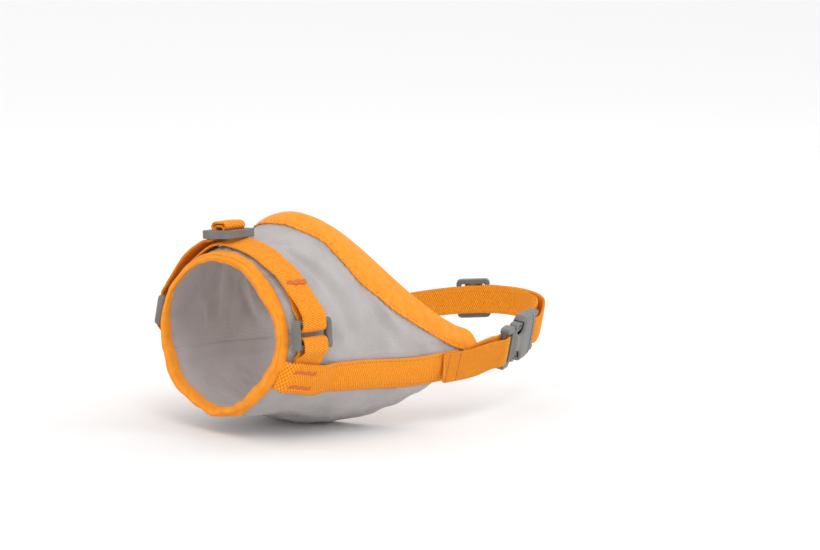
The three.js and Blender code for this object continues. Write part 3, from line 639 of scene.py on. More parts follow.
# Folds of the slack cloth on each side: two ends as (Y, distance round from the side), width, height.
AROUND = 46.0  # millimetres round the sleeve for one radian
FOLDS = [
    ((25, 58), (46, 13), 3.0, -1.7),
    ((31, 55), (54, 14), 3.6, 1.2),
    ((24, 68), (37, 60), 2.0, 1.0),
    ((25, 63), (33, 55), 1.7, -0.9),
    ((40, 52), (66, 22), 4.2, -0.9),
    ((58, 27), (88, 5), 2.3, 1.3),
    ((62, 19), (92, 3), 2.8, -1.2),
    ((76, 17), (104, 4), 3.0, 0.9),
    ((98, 9), (120, 2), 2.2, -1.1),
    ((26, 20), (44, 2), 3.4, 0.8),
]


def fold_height(y, around, side):
    """Relief of the folds on one side, with ends that die out."""
    total = np.zeros(np.broadcast(y, around).shape)
    for k, (a, b, width, height) in enumerate(FOLDS):
        shift = 0 if side > 0 else 2.5 * math.sin(3.1 * k)
        a, b = np.array(a, float) + (0, shift), np.array(b, float) + (shift, 0)
        length = np.linalg.norm(b - a)
        d = (b - a) / length
        along = ((y - a[0]) * d[0] + (around - a[1]) * d[1]) / length
        off = (around - a[1]) * d[0] - (y - a[0]) * d[1] + 1.6 * np.sin(2.4 * along + k)
        ends = smooth(along, -0.12, 0.3) * (1 - smooth(along, 0.7, 1.15))
        spread = width * (0.6 + 0.9 * np.clip(along, 0, 1))
        total = total + height * ends * np.exp(-((off / spread) ** 2))
    return total


def flare(y, angle):
    """The front edge stands open a little, more so low on the dog's right."""
    wrapped = np.mod(angle, 2 * np.pi)
    corners = bell(wrapped, 0.7, 0.38) + bell(wrapped, 5.5, 0.38)
    return (0.3 + 2.2 * bell(wrapped, 3.95, 0.6) - 1.9 * corners) * (1 - smooth(y, 1, 10))


EDGE_ANGLES = np.linspace(-1.5, np.pi + 1.5, 400)
EDGE_YS = rear_edge_y(EDGE_ANGLES)


def rear_edge_near(angle):
    """Quick value of rear_edge_y."""
    return np.interp(angle, EDGE_ANGLES, EDGE_YS)


def relief(y, angle):
    """How far the nose panel's cloth stands off the plain sleeve."""
    y, angle = np.broadcast_arrays(np.asarray(y, float), np.asarray(angle, float))
    side = np.where(angle < np.pi / 2, 1, -1)
    around = AROUND * np.where(side > 0, angle, np.pi - angle)
    folds = np.where(side > 0, fold_height(y, around, 1), fold_height(y, around, -1))
    broad = 0.55 * noise(y / 38, AROUND * angle / 42, seed=3)
    broad = broad + 0.22 * noise(y / 11, AROUND * angle / 13, seed=4)
    z = skin(y, angle)[..., 2]
    free = smooth(z, strap_z(y) + 6, strap_z(y) + 15)
    free = free * smooth(np.abs(y - NOSE_Y), WEB_W / 2 + 0.5, WEB_W / 2 + 6)
    rear = rear_edge_near(angle)
    edge = 1 - 0.75 * smooth(y, rear - 1.3 * BAND_W, rear - 0.5 * BAND_W)
    ruffle = 0.3 * np.sin(angle * 31 + 2 * np.sin(7 * angle)) * bell(y, RIM_DEPTH + 1, 5)
    under_slider = 1.9 * bell(angle, 1.84, 0.33) * bell(y, 14, 12)
    crest = 2.0 * bell(angle, 2.05, 0.35) * bell(y, 50, 12)
    ruffle = ruffle * smooth(z, -30, -8)
    return (folds + broad) * free * edge + ruffle + under_slider + crest + flare(y, angle)


def chin_relief(y, angle):
    """The same for the chin panel, whose edges pass inside the nose panel's."""
    y, angle = np.broadcast_arrays(np.asarray(y, float), np.asarray(angle, float))
    low = smooth(-skin(y, angle)[..., 2], 24, 34)
    broad = 0.9 * noise(y / 34, AROUND * angle / 30, seed=8)
    broad = broad + 0.25 * noise(y / 12, AROUND * angle / 12, seed=9)
    pucker = 0.9 * np.sin(angle * 9 + 0.7) * bell(y, 12, 9)
    under_seam = -0.6 * smooth(skin(y, angle)[..., 2], strap_z(y) - 6, strap_z(y) - 2)
    return (broad + pucker) * low + under_seam + flare(y, angle)


def cloth_solid(name, angle_of, rear_of, height, material, rows, hem=0.0, columns=150):
    """Panel between the front opening and a rear edge, as in the CAD model, with its relief."""
    u = np.linspace(0, 1, rows)[:, None]
    v = np.linspace(0, 1, columns)[None]
    rear = rear_of(angle_of(u, 90.0 + 0 * u))
    rear = rear_of(angle_of(u, rear))
    y = EDGE_IN + (rear - EDGE_IN) * v
    angle = angle_of(u, y)
    lift = height(y, angle)
    thick = CLOTH_T + hem * (1 - smooth(rear - y, 4.6, 5.2))
    outer = sleeve(y, angle, lift + thick / 2)
    inner = sleeve(y, angle, lift - thick / 2)
    n = rows * columns
    points = np.vstack([outer.reshape(-1, 3), inner.reshape(-1, 3)])
    faces = grid_faces(rows, columns)
    back = grid_faces(rows, columns)[:, ::-1] + n
    index = np.arange(n).reshape(rows, columns)
    border = np.concatenate([index[0, :-1], index[:-1, -1], index[-1, :0:-1], index[:0:-1, 0]])
    rim = np.stack([border, np.roll(border, -1), np.roll(border, -1) + n, border + n], -1)
    step = np.linalg.norm(np.diff(outer, axis=0), axis=-1)
    round_mm = np.concatenate([np.zeros((1, columns)), np.cumsum(step, 0)])
    uvs = np.stack(np.broadcast_arrays(y, round_mm[:, columns // 4][:, None]), -1).reshape(-1, 2)
    return mesh_object(name, points, np.vstack([faces, back, rim]), material, np.vstack([uvs, uvs]))


def upper_start(y):
    return angle_at(y, strap_z(y) - PANEL_LAP)


def lower_start(y):
    return angle_at(y, strap_z(y) + PANEL_LAP)


def nose_angle(u, y):
    start = upper_start(y)
    return start + (np.pi - 2 * start) * u


def chin_angle(u, y):
    start = lower_start(y)
    return start + (-np.pi - 2 * start) * u


nose_panel = cloth_solid(
    "nose_panel_cloth", nose_angle, lambda a: rear_edge_y(a) - EDGE_IN, relief, NOSE_CLOTH, rows=340
)
own(nose_panel, "sleeve", "sleeve", "nose_panel")
chin_panel = cloth_solid(
    "chin_panel_cloth", chin_angle, chin_edge_y, chin_relief, CHIN_CLOTH, rows=240, hem=HEM_T
)
own(chin_panel, "sleeve", "sleeve", "chin_panel")


# ---- edge bindings -----------------------------------------------------------------------------
TAPE_T = 0.7
TAPE_IN = 0.45  # from the cloth's middle to the tape's inner face
BAND_END_Y, BAND_END_Z = 130.0, -18.5  # where the rear band's ends are tucked in
# Width of the rear band against the share of the way from the nose to its end.
BAND_WIDTHS = [
    (0, 11), (0.12, 12.4), (0.3, 19), (0.42, 16.6), (0.6, 12.6), (0.75, 10.6), (0.88, 10), (1, 10.5)
]
BAND_STEP = 0.6  # spacing of its sections


def binding_profile(depth, radius_out, radius_in):
    """U sections, one row each: how far behind the fold and off the cloth's middle each point lies."""
    turn = np.linspace(-np.pi / 2, np.pi / 2, 11)[None]
    flat = np.linspace(1, 0.06, 11)[None]
    back, offset = [], []
    for radius, way in ((radius_out, 1), (radius_in, -1)):
        radius = np.broadcast_to(radius, depth.shape)
        side = radius * np.ones_like(flat)
        back += [depth * flat, -radius * np.cos(turn), depth * flat[:, ::-1]]
        offset += [-way * side, way * radius * np.sin(turn), way * side]
    return np.concatenate(back, 1), np.concatenate(offset, 1)


def binding_uvs(sections):
    along, turn = lengths(sections.mean(1)), lengths(sections[0])
    return np.stack(np.broadcast_arrays(along[:, None], turn[None]), -1)


def front_binding():
    """Tape folded over the front edge, soft and a little uneven, with its ends lapped low on the left."""
    n = 520
    angle = np.linspace(0, 2 * np.pi, n, endpoint=False)
    uneven = 1 + 0.07 * np.sin(5 * angle + 1) + 0.03 * np.sin(11 * angle + 2 * np.sin(3 * angle))
    left = bell(angle, 0.1, 0.5) + bell(angle, 2 * np.pi + 0.1, 0.5)
    narrow = 1.5 * left + 2.3 * bell(angle, 5.4, 0.28) + 3.6 * bell(angle, 2.6, 0.42)
    depth = RIM_DEPTH - narrow + 0.15 * np.sin(9 * angle + 1)
    lap = smooth(angle, 5.28, 5.3) * (1 - smooth(angle, 5.55, 5.62))
    a = angle[:, None]
    out = ((TAPE_IN + TAPE_T) * uneven + 0.5 * lap)[:, None]
    reach = (depth + 0.5 * lap)[:, None]
    back, offset = binding_profile(reach, out, TAPE_IN)
    bulge = 0.5 * np.sin(np.pi * np.clip(back / reach, 0, 1) ** 0.8) * np.sign(offset)
    bulge = bulge - 1.3 * (1 - 1.4 * bell(a, 2.55, 0.6)) * (offset < -out + 0.1)
    rolled = back + 0.3 * np.sin(3 * a + 1) - 1.2 * (bell(a, 0.8, 0.4) + bell(a, 5.5, 0.4))
    below = np.sin(a) < -0.36
    lift = np.where(below, chin_relief(np.maximum(rolled, 0), a), relief(np.maximum(rolled, 0), a))
    sections = sleeve(rolled, a, offset + bulge + relax_round(lift))
    return tube("front_binding_tape", sections, BINDING, binding_uvs(sections), cyclic=True)


def relax_round(values, rounds=4):
    """Smooths values from one section to the next round a closed row of sections."""
    for _ in range(rounds):
        values = (np.roll(values, 1, 0) + 2 * values + np.roll(values, -1, 0)) / 4
    return values


def band_edge():
    """Upper rear edge from the left jaw strap over the nose to the right one, evenly spaced."""
    start = float(angle_at(BAND_END_Y, BAND_END_Z))
    angle = np.linspace(start, np.pi - start, 900)
    return relax(even(skin(rear_edge_y(angle), angle), BAND_STEP), 12)


def band_frame():
    """The edge, and the direction on the sleeve square to it and away from it."""
    edge = band_edge()
    angle = angle_near(edge)
    ahead = unit(np.cross(skin_normal(edge[:, 1], angle), unit(np.gradient(edge, axis=0))))
    ahead = ahead * np.where(ahead[:, 1:2] > 0, -1, 1)
    for _ in range(3):
        ahead[1:-1] = unit(ahead[:-2] + 2 * ahead[1:-1] + ahead[2:])
    return edge, ahead


def on_band(edge, ahead, back, offset):
    """Points `back` millimetres ahead of the edge on the sleeve, raised by an offset over its folds."""
    p = edge + ahead * np.asarray(back, float)[..., None]
    angle = angle_near(p)
    y = np.where(p[..., 1] > 0, p[..., 1], 0)
    return sleeve(y, angle, offset + relief(y, angle))


def band_widths(edge):
    """Width of the band at each point of its edge."""
    return table(BAND_WIDTHS, np.abs(2 * np.arange(len(edge)) / (len(edge) - 1) - 1))


def rear_binding():
    """Flat tape folded over the upper rear edge, puckered along its stitches, tucked under the straps."""
    edge, ahead = band_frame()
    s = np.arange(len(edge)) * BAND_STEP
    tucked = 1 - smooth(edge[:, 2] - strap_z(edge[:, 1]), 5.5, 10)
    width = (band_widths(edge) + 0.3 * np.sin(s / 9))[:, None]
    thin = (1 - 0.45 * tucked)[:, None]
    s = s[:, None]
    back, offset = binding_profile(width, (TAPE_IN + TAPE_T) * thin, TAPE_IN * thin)
    front = np.clip(back / width, 0, 1)
    pucker = (0.22 * np.sin(2 * np.pi * s / 3.9) + 0.12 * np.sin(s / 2.3)) * smooth(front, 0.72, 1)
    stitched = -0.32 * bell(front, 0.86, 0.06) + 0.25 * np.sin(np.pi * np.clip(front / 0.8, 0, 1))
    ragged = 0.22 * np.sin(2 * np.pi * s / 3.9 + 1) * smooth(front, 0.9, 1)
    offset = offset + np.where(offset > 0, stitched * thin + pucker, 0)
    sections = on_band(edge[:, None], ahead[:, None], back + ragged, offset)
    return tube("rear_binding_tape", sections, BINDING, binding_uvs(sections))


def rear_stitches():
    """Row of stitches near the front edge of the rear binding."""
    edge, ahead = band_frame()
    keep = edge[:, 2] > strap_z(edge[:, 1]) + 9
    height = TAPE_IN + TAPE_T - 0.18
    line = on_band(edge[keep], ahead[keep], band_widths(edge)[keep] - 2.0, height)
    line = even(line, 2.5)
    normals = skin_normal(line[:, 1], angle_near(line))
    row = stitches("rear_binding_stitches", line, np.gradient(line, axis=0), normals, 1.25, 0.22)
    own(row, "sleeve", "thread")


own(front_binding(), "sleeve", "binding", "front_binding")
own(rear_binding(), "sleeve", "binding", "rear_binding")
rear_stitches()


# ---- jaw straps --------------------------------------------------------------------------------
JAW_START, JAW_END = 2.6, 121.0
JAW_LEAN = 0.96  # height on the leaning cheek for each millimetre of the strap's width
LOOPS_END_Y = NOSE_Y + WEB_W / 2 + 3
SEWN_Y = 107.0  # where the neck loop's webbing begins over the jaw straps
TACK_L, TACK_W = 11.5, 1.9  # size of the bar tacks
JAW_TACK_RISE = 3.4  # of each bar tack from the jaw strap's middle
STITCH_RISE, STITCH_PITCH = 5.7, 2.7  # rows of stitches beside the jaw strap's middle
STITCHES_FROM = 27.0  # Y where the rows start
LOOP_INNER, LOOP_OUTER = 1.2, 2.6  # middles of the two layers of a ring's loop above the skin
OVER_LOOPS = LOOP_OUTER + 1.45 - ON_SKIN


def jaw_offset(y):
    front = 3.4 * (1 - smooth(y, JAW_START, RIM_DEPTH + 1.2))
    return ON_SKIN + OVER_LOOPS * (1 - smooth(y, LOOPS_END_Y - 2, LOOPS_END_Y + 9)) - front


def mirrored_angle(angle, side):
    return angle if side > 0 else np.pi - angle


def mesh_pattern(s, w):
    """Rows of small holes, each row half a step along from the last, with plain selvedges."""
    holes = np.cos(2 * np.pi * s / MESH_RIB) * np.cos(np.pi * w / MESH_ROW)
    plain = smooth(np.abs(w), 5.4, 6.0)
    return 0.16 * holes * (1 - plain) + 0.1 * plain * np.cos(2 * np.pi * s / MESH_RIB)


def jaw_strap(side, name):
    """Webbing along the cheek, following the sleeve, raised at the front over the ring's loop."""
    y = np.arange(JAW_START, JAW_END, MESH_RIB / 4)
    w, crown = across_webbing()
    scallop = 1 + 0.012 * np.cos(2 * np.pi * y / MESH_RIB)
    sway = 0.35 * np.sin(y / 17 + side)
    height = (strap_z(y) + sway)[:, None] + w[None] * WEB_W * JAW_LEAN * scallop[:, None]
    angle = angle_at(y[:, None], height)
    face = mesh_pattern(y[:, None], w[None] * WEB_W)
    groove = bell(np.abs(w[None] * WEB_W), STITCH_RISE, 0.35) * (y[:, None] > STITCHES_FROM - 1)
    stitched = -0.22 * groove
    middle = jaw_offset(y)[:, None] + 0.15 * np.sin(y[:, None] / 7) * (1 - 2 * np.abs(w[None]))
    half = crown[None] * WEB_T / 2
    top = sleeve(y[:, None], mirrored_angle(angle, side), middle + half + crown[None] * (face + stitched))
    bottom = sleeve(y[:, None], mirrored_angle(angle, side), middle - half)
    sections = np.concatenate([top, bottom[:, -2:0:-1]], 1)
    turn = np.concatenate([w, w[-2:0:-1]]) * WEB_W
    uvs = np.stack(np.broadcast_arrays(y[:, None], turn[None]), -1)
    return tube(f"jaw_strap_{name}", sections, WEBBING_MESH, uvs)


def on_jaw(side, y, rise, height):
    """Point on the jaw strap's face and the face's normal there."""
    angle = mirrored_angle(angle_at(y, strap_z(y) + rise), side)
    return sleeve(y, angle, jaw_offset(y) + WEB_T / 2 + height), skin_normal(y, angle)


def bar_tack(name, at):
    """Dense zigzag of thread. at(along, across, height) gives points and the normals under them."""
    t = np.linspace(-0.5, 0.5, 52)
    zigzag = np.where(np.arange(len(t)) % 2 == 0, -0.5, 0.5) + 0.1 * np.sin(17 * t)
    a, normal = at(t * TACK_L, zigzag * TACK_W, 0.12)
    places = (a[1:] + a[:-1]) / 2
    directions = np.diff(a, axis=0)
    long = np.linalg.norm(directions, axis=1).mean() * 1.06
    return stitches(name, places, directions, normal[1:], long, 0.27)


def side_hardware(side, name):
    strap = jaw_strap(side, name)
    own(strap, "sleeve", "webbing", f"side_strap_{name}")
    for number, rise in ((1, JAW_TACK_RISE), (2, -JAW_TACK_RISE)):
        def at(along, across, height):
            return on_jaw(side, NOSE_Y - 0.6 + along, rise + across, height)

        tack = bar_tack(f"jaw_tack_{name}_{number}_thread", at)
        own(tack, "sleeve", "thread", f"jaw_tack_{name}_{number}")
    y = np.arange(STITCHES_FROM, SEWN_Y - 1, STITCH_PITCH)
    for number, rise in ((1, STITCH_RISE), (2, -STITCH_RISE)):
        places, normals = on_jaw(side, y, rise * JAW_LEAN, -0.12)
        angle = mirrored_angle(angle_at(y, strap_z(y) + rise), side)
        directions = skin(y + 1, angle) - skin(y - 1, angle)
        row = stitches(f"jaw_stitches_{name}_{number}", places, directions, normals, 1.9, 0.2)
        own(row, "sleeve", "thread")


for side, name in ((1, "left"), (-1, "right")):
    side_hardware(side, name)


# ---- rings on the cheeks -----------------------------------------------------------------------
RING_Z = 5.2
RING_BAR_R = 1.5
RING_BAR_REACH = 6.0
RING_RAIL = (15.0, 3.6, 4.4)
RING_OFFSET = ON_SKIN + WEB_T / 2 + GAP + RING_BAR_R + 0.5
FOLD_R = RING_BAR_R + GAP + WEB_T / 2
RING_SLACK = 1.9


def ring_frame(side):
    """Middle of a ring and its directions up round the sleeve, along its bars, and outwards."""
    angle = mirrored_angle(float(angle_at(NOSE_Y, RING_Z)), side)
    out = skin_normal(NOSE_Y, angle)
    up = unit(skin(NOSE_Y, angle + 0.01 * side) - skin(NOSE_Y, angle - 0.01 * side))
    return sleeve(NOSE_Y, angle, RING_OFFSET), up, np.cross(out, up), out


def beside_ring(points, low, high):
    """Width of webbing: in line with a ring's bars between two heights, and with the sleeve elsewhere."""
    backs = [np.cross(up, out) * side for side in (1, -1) for _, up, _, out in [ring_frame(side)]]
    back = np.where(points[:, :1] > 0, backs[0], backs[1])
    share = smooth(points[:, 2], low - 1.5, low + 1.5) * (1 - smooth(points[:, 2], high - 1.5, high + 1.5))
    return unit(slope_near(points) * (1 - share[:, None]) + back * share[:, None])


def ring(side, name):
    height, width, depth = RING_RAIL
    half = WEB_W / 2 + 0.5
    bars = [rod_solid(RING_BAR_R, -half - 2, half + 2, x=x) for x in (RING_BAR_REACH, -RING_BAR_REACH)]
    x = height / 2 * np.sin(np.linspace(-np.pi / 2, np.pi / 2, 41)[1:-1])
    taper = np.sqrt(1 - (np.clip(np.abs(x) - height / 2 + width / 2, 0, None) / (width / 2)) ** 2)
    rails = []
    for end in (1, -1):
        rail = loft_solid(x, width / 2 * (0.35 + 0.65 * taper), depth / 2 * (0.45 + 0.55 * taper), power=2.7)
        rail.data.transform(Matrix.Translation((0, end * (half + width / 2) * MM, 0)))
        rails.append(rail)
    middle, up, across, out = ring_frame(side)
    piece = moulded(f"cheek_ring_{name}", frame_matrix(middle, up, across, out), rails + bars, rounds=8)
    own(piece, f"ring_{name}", "hardware", f"ring_{name}")


def fold_round_bar(side, end):
    """Line of webbing round a ring's bar, hanging slack off it. end is 1 for the upper bar."""
    middle, up, _, out = ring_frame(side)
    past = RING_BAR_REACH + RING_BAR_R + 1.2
    turn = np.linspace(-np.pi / 2, np.pi / 2, 15)
    centre = end * (RING_BAR_REACH - RING_SLACK)
    along = [end * past] + [centre - end * FOLD_R * math.cos(t) for t in turn] + [end * past]
    away = [-FOLD_R] + [FOLD_R * math.sin(t) for t in turn] + [FOLD_R]
    return np.array([middle + up * a + out * b for a, b in zip(along, away)])


LOOP_HEIGHTS = np.array([-21, -17, -12, -7.4])


def ring_loop(side, name):
    """Webbing from under the jaw strap, round the ring's lower bar and back."""
    angle = mirrored_angle(angle_at(NOSE_Y, LOOP_HEIGHTS), side)
    inner = sleeve(NOSE_Y, angle, LOOP_INNER)
    outer = sleeve(NOSE_Y, angle, LOOP_OUTER)[::-1]
    line = smoothed(np.vstack([inner, fold_round_bar(side, -1), outer]), 0.4, 5)
    piece = webbing(f"ring_loop_{name}_webbing", line, lambda points: beside_ring(points, -RING_Z - 1, 99))
    own(piece, "sleeve", "webbing", f"ring_loop_{name}")


for side, name in ((1, "left"), (-1, "right")):
    ring(side, name)
    ring_loop(side, name)


# ---- nose strap and its slider -----------------------------------------------------------------
SLIDER = {"length": 18.0, "width": 21.0, "depth": 4.2, "bar": 2.6, "rail": 2.6, "edge": 2.6}
SLIDER_TILT = math.radians(6.6)
SLIDER_ALONG = np.array([math.cos(SLIDER_TILT), 0, math.sin(SLIDER_TILT)])
SLIDER_OUT = np.array([-math.sin(SLIDER_TILT), 0, math.cos(SLIDER_TILT)])
NOSE_SLIDER = frame_matrix((-12.8, 14, 47.5), SLIDER_ALONG, (0, 1, 0), SLIDER_OUT)
BELOW_SLIDER = -(SLIDER["depth"] / 2 + GAP + WEB_T / 2 + 0.2)
SLOT_X = SLIDER["length"] / 2 - SLIDER["rail"] - 2
TACK_Z = 26.0
OVER_RING_Z = RING_Z + 11
BEND_FROM, BEND_TO = 21, 7  # heights above a ring's middle between which the strap turns with it


def slider(name, place):
    """Tri-glide: a frame with a centre bar between two slots."""
    length, width, depth = SLIDER["length"], SLIDER["width"], SLIDER["depth"]
    slot = length / 2 - SLIDER["bar"] / 2 - SLIDER["rail"]
    middle = SLIDER["bar"] / 2 + slot / 2
    body = polygon_solid(round_rect(length, width, 2.4), -depth / 2, depth / 2)
    opening = width - 2 * SLIDER["edge"]
    holes = [box_solid(slot, opening, depth + 2, (end * middle, 0, 0), 0.6) for end in (1, -1)]
    return moulded(name, place, [body], holes, voxel=0.22, rounds=7)


def slider_turn(name, place, rise=3.0, spread=4.3):
    """Webbing standing up over the slider's centre bar, open below, with a flat top."""
    inside = SLIDER["bar"] / 2 + GAP + WEB_T / 2
    top = SLIDER["depth"] / 2 + rise
    half = [(inside, -1.2), (inside, 1.2), (spread, top - 1.5), (spread - 0.9, top + 0.3)]
    xz = [(-x, z) for x, z in half] + [(0, top + 0.5)] + half[::-1]
    line = local_points(place, spline([(x, 0, z) for x, z in xz], 0.3))
    return webbing(name, line, place[:3, 1])


def into_slot(place, end):
    """Webbing that passes under an end of a slider and stands in the slot beside it."""
    run = [(4.6, BELOW_SLIDER), (2.6, BELOW_SLIDER), (0.5, BELOW_SLIDER + 0.6), (0, -1)]
    return local_points(place, [(end * (SLOT_X + x), 0, z) for x, z in run])


def nose_strap_line():
    """Nose strap from its sewn end, round the left ring, over the nose, round the right ring and up."""
    tack, ring_top = (float(angle_at(NOSE_Y, z)) for z in (TACK_Z, OVER_RING_Z))
    f = np.linspace(0, 1, 8)
    sewn = sleeve(NOSE_Y, tack + (ring_top - tack) * f, ON_SKIN)
    angle = np.linspace(tack, np.pi - ring_top, 60)
    under = bell(angle, 1.86, 0.26)
    doubled = 1 - smooth(angle, tack + 0.12, tack + 0.42)
    over = sleeve(NOSE_Y - 1.6 * bell(angle, 0.95, 0.4), angle, ON_SKIN + LAYER * doubled + 2.3 * under)
    right_turn = fold_round_bar(-1, 1)
    bulge = sleeve(NOSE_Y, np.pi - float(angle_at(NOSE_Y, 31)), 5.8)
    lift = local_points(NOSE_SLIDER, [(-SLIDER["length"] / 2 - 2.5, 0, BELOW_SLIDER - 0.6)])
    back = spline(np.vstack([right_turn[-1:], bulge[None], lift, into_slot(NOSE_SLIDER, -1)]), 0.5)
    left_turn = fold_round_bar(1, 1)
    fall = spline(np.vstack([left_turn[-2:], over[:1], over[3:4]]), 0.5)
    fall = fall[fall[:, 2] > left_turn[-1, 2]]
    line = np.vstack([sewn, left_turn[:-1], fall, over[4:], right_turn[:-1], back])
    return smoothed(line, 0.4, 6)


def nose_strap():
    line = even(nose_strap_line(), RIB / 4)
    length = len(line)
    share = smooth(np.arange(length), length - 42 / RIB * 4, length - 20 / RIB * 4)[:, None]
    wide = unit(beside_ring(line, -99, OVER_RING_Z + 3) * (1 - share) + np.array([0, 1.0, 0]) * share)
    sections, uvs = webbing_sections(line, wide)
    split = int(np.argmin(np.abs(line[:, 0] - NOSE_SLIDER[0, 3]) + 100 * (np.arange(length) > length * 0.6)))
    middle, up, _, _ = ring_frame(-1)
    past_ring = ((line - middle) @ up > BEND_FROM + 1) & (np.arange(length) > length * 0.8)
    tail = int(np.argmax(past_ring))
    for name, rows in (("left", slice(0, split + 1)), ("right", slice(split, tail + 1))):
        side = 1 if name == "left" else -1
        piece = tube(f"nose_strap_{name}", sections[rows], WEBBING, uvs[rows])
        middle, up, _, _ = ring_frame(side)
        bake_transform(piece)
        own(piece, None, "webbing", "nose_strap")
    piece = tube("nose_strap_tail", sections[tail:], WEBBING, uvs[tail:])
    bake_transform(piece)
    own(piece, None, "webbing", "nose_strap")


nose_strap()
own(slider("nose_tri_glide", NOSE_SLIDER), "nose_slider", "hardware", "nose_slider")
own(slider_turn("nose_slider_arch", NOSE_SLIDER), "nose_slider", "webbing", "nose_slider_turn")
own(slider_turn("nose_slider_inner_arch", NOSE_SLIDER, 1.3, 2.9), "nose_slider", "webbing")


def on_nose_strap(along, across, height):
    """Points on the doubled strap above the left ring: along Y and up round the sleeve."""
    y = NOSE_Y + along
    angle = angle_at(y, TACK_Z + 1 + across)
    return sleeve(y, angle, ON_SKIN + LAYER + WEB_T / 2 + 0.12 + height), skin_normal(y, angle)


own(bar_tack("nose_tack_thread", on_nose_strap), "sleeve", "thread", "nose_tack_left")


# ---- buckle ------------------------------------------------------------------------------------
ALONG = unit((-0.317, 0.945, 0.093))
OUT = unit((0.933, 0.329, -0.158))
UP = unit(np.cross(OUT, ALONG))
OUT = np.cross(ALONG, UP)
BUCKLE = frame_matrix((48.2, 163, -17.1), ALONG, UP, OUT)
BUCKLE_T = 8.4
END_T = 5.0
BAR_R = 1.5
CAVITY_HALF, CAVITY_DEPTH, CAVITY_FROM = 9.8, 5.4, 9.0
MOUTH_TO = 34.0
PRONG_T = 4.4  # thickness of the prongs and the tongue
LATCH_FACE, LATCH_BAR = 34.6, 45.0
PIVOT_X, PIVOT_Y = 33.0, 8.1
TONGUE_FROM = 14.0
END_HALF, RAIL_IN = 11.0, 8.0
SOCKET_SIDE = [(6, 11), (8.6, 10.6), (10.4, 9), (12, 6.8), (14, 5.6), (17.5, 5.5), (20, 6.6), (21.4, 8.6),
               (22.8, 11), (25, 12.4), (34, 12.4)]
PRONG_OUTLINE = [(32, 9.3), (23, 9.4), (21, 9.74), (19, 9.97), (17, 10.2), (15.2, 10.45), (13.4, 10.1),
                 (12.3, 9), (12.2, 7.4), (13.4, 6.1), (20, 6), (23, 7), (32, 7)]


def webbing_end(at, root):
    """Bar for webbing at x = at, in a frame that reaches to x = root."""
    outer = at + math.copysign(BAR_R, at - root)
    middle, length = (outer + root) / 2, abs(outer - root)
    width = END_HALF - RAIL_IN
    rails = [box_solid(length, width, END_T, (middle, s * (END_HALF + RAIL_IN) / 2, 0), 1.3) for s in (1, -1)]
    return rails + [rod_solid(BAR_R, -RAIL_IN - 1, RAIL_IN + 1, x=at)]


def socket():
    x = np.concatenate([np.linspace(6.4, 7, 3), np.linspace(7.4, 33, 60), np.linspace(33.2, MOUTH_TO, 5)])
    half_y = table(SOCKET_SIDE, x)
    tip = np.sqrt(np.clip(1 - ((x - 33) / 1.15) ** 2, 0, 1)) * (x > 33) + (x <= 33)
    rise = 0.62 + 0.38 * smooth(x, 7, 12.5)
    valley = 1 - 0.13 * bell(x, 17, 4.2)
    half_z = BUCKLE_T / 2 * rise * valley * (0.82 + 0.18 * tip)
    half_y = half_y * (0.95 + 0.05 * tip)
    body = loft_solid(x, half_y, half_z, power=4.2)
    length = MOUTH_TO + 2 - CAVITY_FROM
    cuts = [box_solid(length, 2 * CAVITY_HALF, CAVITY_DEPTH, (CAVITY_FROM + length / 2, 0, 0))]
    cuts += [box_solid(6, 3.2, 2.6, (CAVITY_FROM - 1, y, 0), 0.4) for y in (-5, 0, 5)]
    return moulded("buckle_socket_moulding", BUCKLE, [body] + webbing_end(0, 8), cuts, voxel=0.26, rounds=4)


def latch():
    x = np.concatenate([np.linspace(LATCH_FACE, 35.6, 6), np.linspace(36, 40, 12)])
    tip = np.sqrt(np.clip(1 - ((35.6 - x) / 1.2) ** 2, 0, 1)) * (x < 35.6) + (x >= 35.6)
    half_y = table([(34, 12), (38, 12), (40, 11)], x) * (0.93 + 0.07 * tip)
    half_z = BUCKLE_T / 2 * (0.8 + 0.2 * tip) * (1 - 0.3 * smooth(x, 37, 40))
    body = loft_solid(x, half_y, half_z, power=4.2)
    length = LATCH_FACE + 2 - TONGUE_FROM
    tongue = box_solid(length, 3.0, PRONG_T, (TONGUE_FROM + length / 2, 0, 0), 0.5)
    adds = [body, tongue] + webbing_end(LATCH_BAR, LATCH_FACE + 4)
    return moulded("buckle_latch_moulding", BUCKLE, adds, voxel=0.24, rounds=5)


def prong(side, name):
    """Flexing arm. Its lobe shows in the socket's waist and has an oval hollow."""
    adds = [
        polygon_solid([(x, side * y) for x, y in PRONG_OUTLINE], -PRONG_T / 2, PRONG_T / 2),
        box_solid(3.4, 2.4, PRONG_T, (PIVOT_X, side * PIVOT_Y, 0), 0.9),
    ]
    turn = np.linspace(0, 2 * np.pi, 24, endpoint=False)
    oval = [(17 + 3.1 * math.cos(t), side * (8.2 + 0.95 * math.sin(t))) for t in turn]
    cuts = [polygon_solid(oval, 1.5, 4), polygon_solid(oval, -4, -1.5)]
    return moulded(f"latch_prong_{name}_moulding", BUCKLE, adds, cuts, voxel=0.2, rounds=4)


own(socket(), "neck_loop", "hardware", "buckle_socket")
own(latch(), "latch", "hardware", "buckle_latch")
own(prong(1, "upper"), "prong_upper", "hardware", "latch_prong_upper")
own(prong(-1, "lower"), "prong_lower", "hardware", "latch_prong_lower")


# ---- neck webbing ------------------------------------------------------------------------------
NECK_X = float(table(HALF_WIDTH, JAW_END)) + ON_SKIN + LAYER + 0.5
NECK_Z = float(strap_z(JAW_END))
BAR_FOLD = BAR_R + GAP + WEB_T / 2
UPRIGHT = np.array([0, 0, 1.0])
SLIDER_AT = 0.655  # share of the neck webbing's length
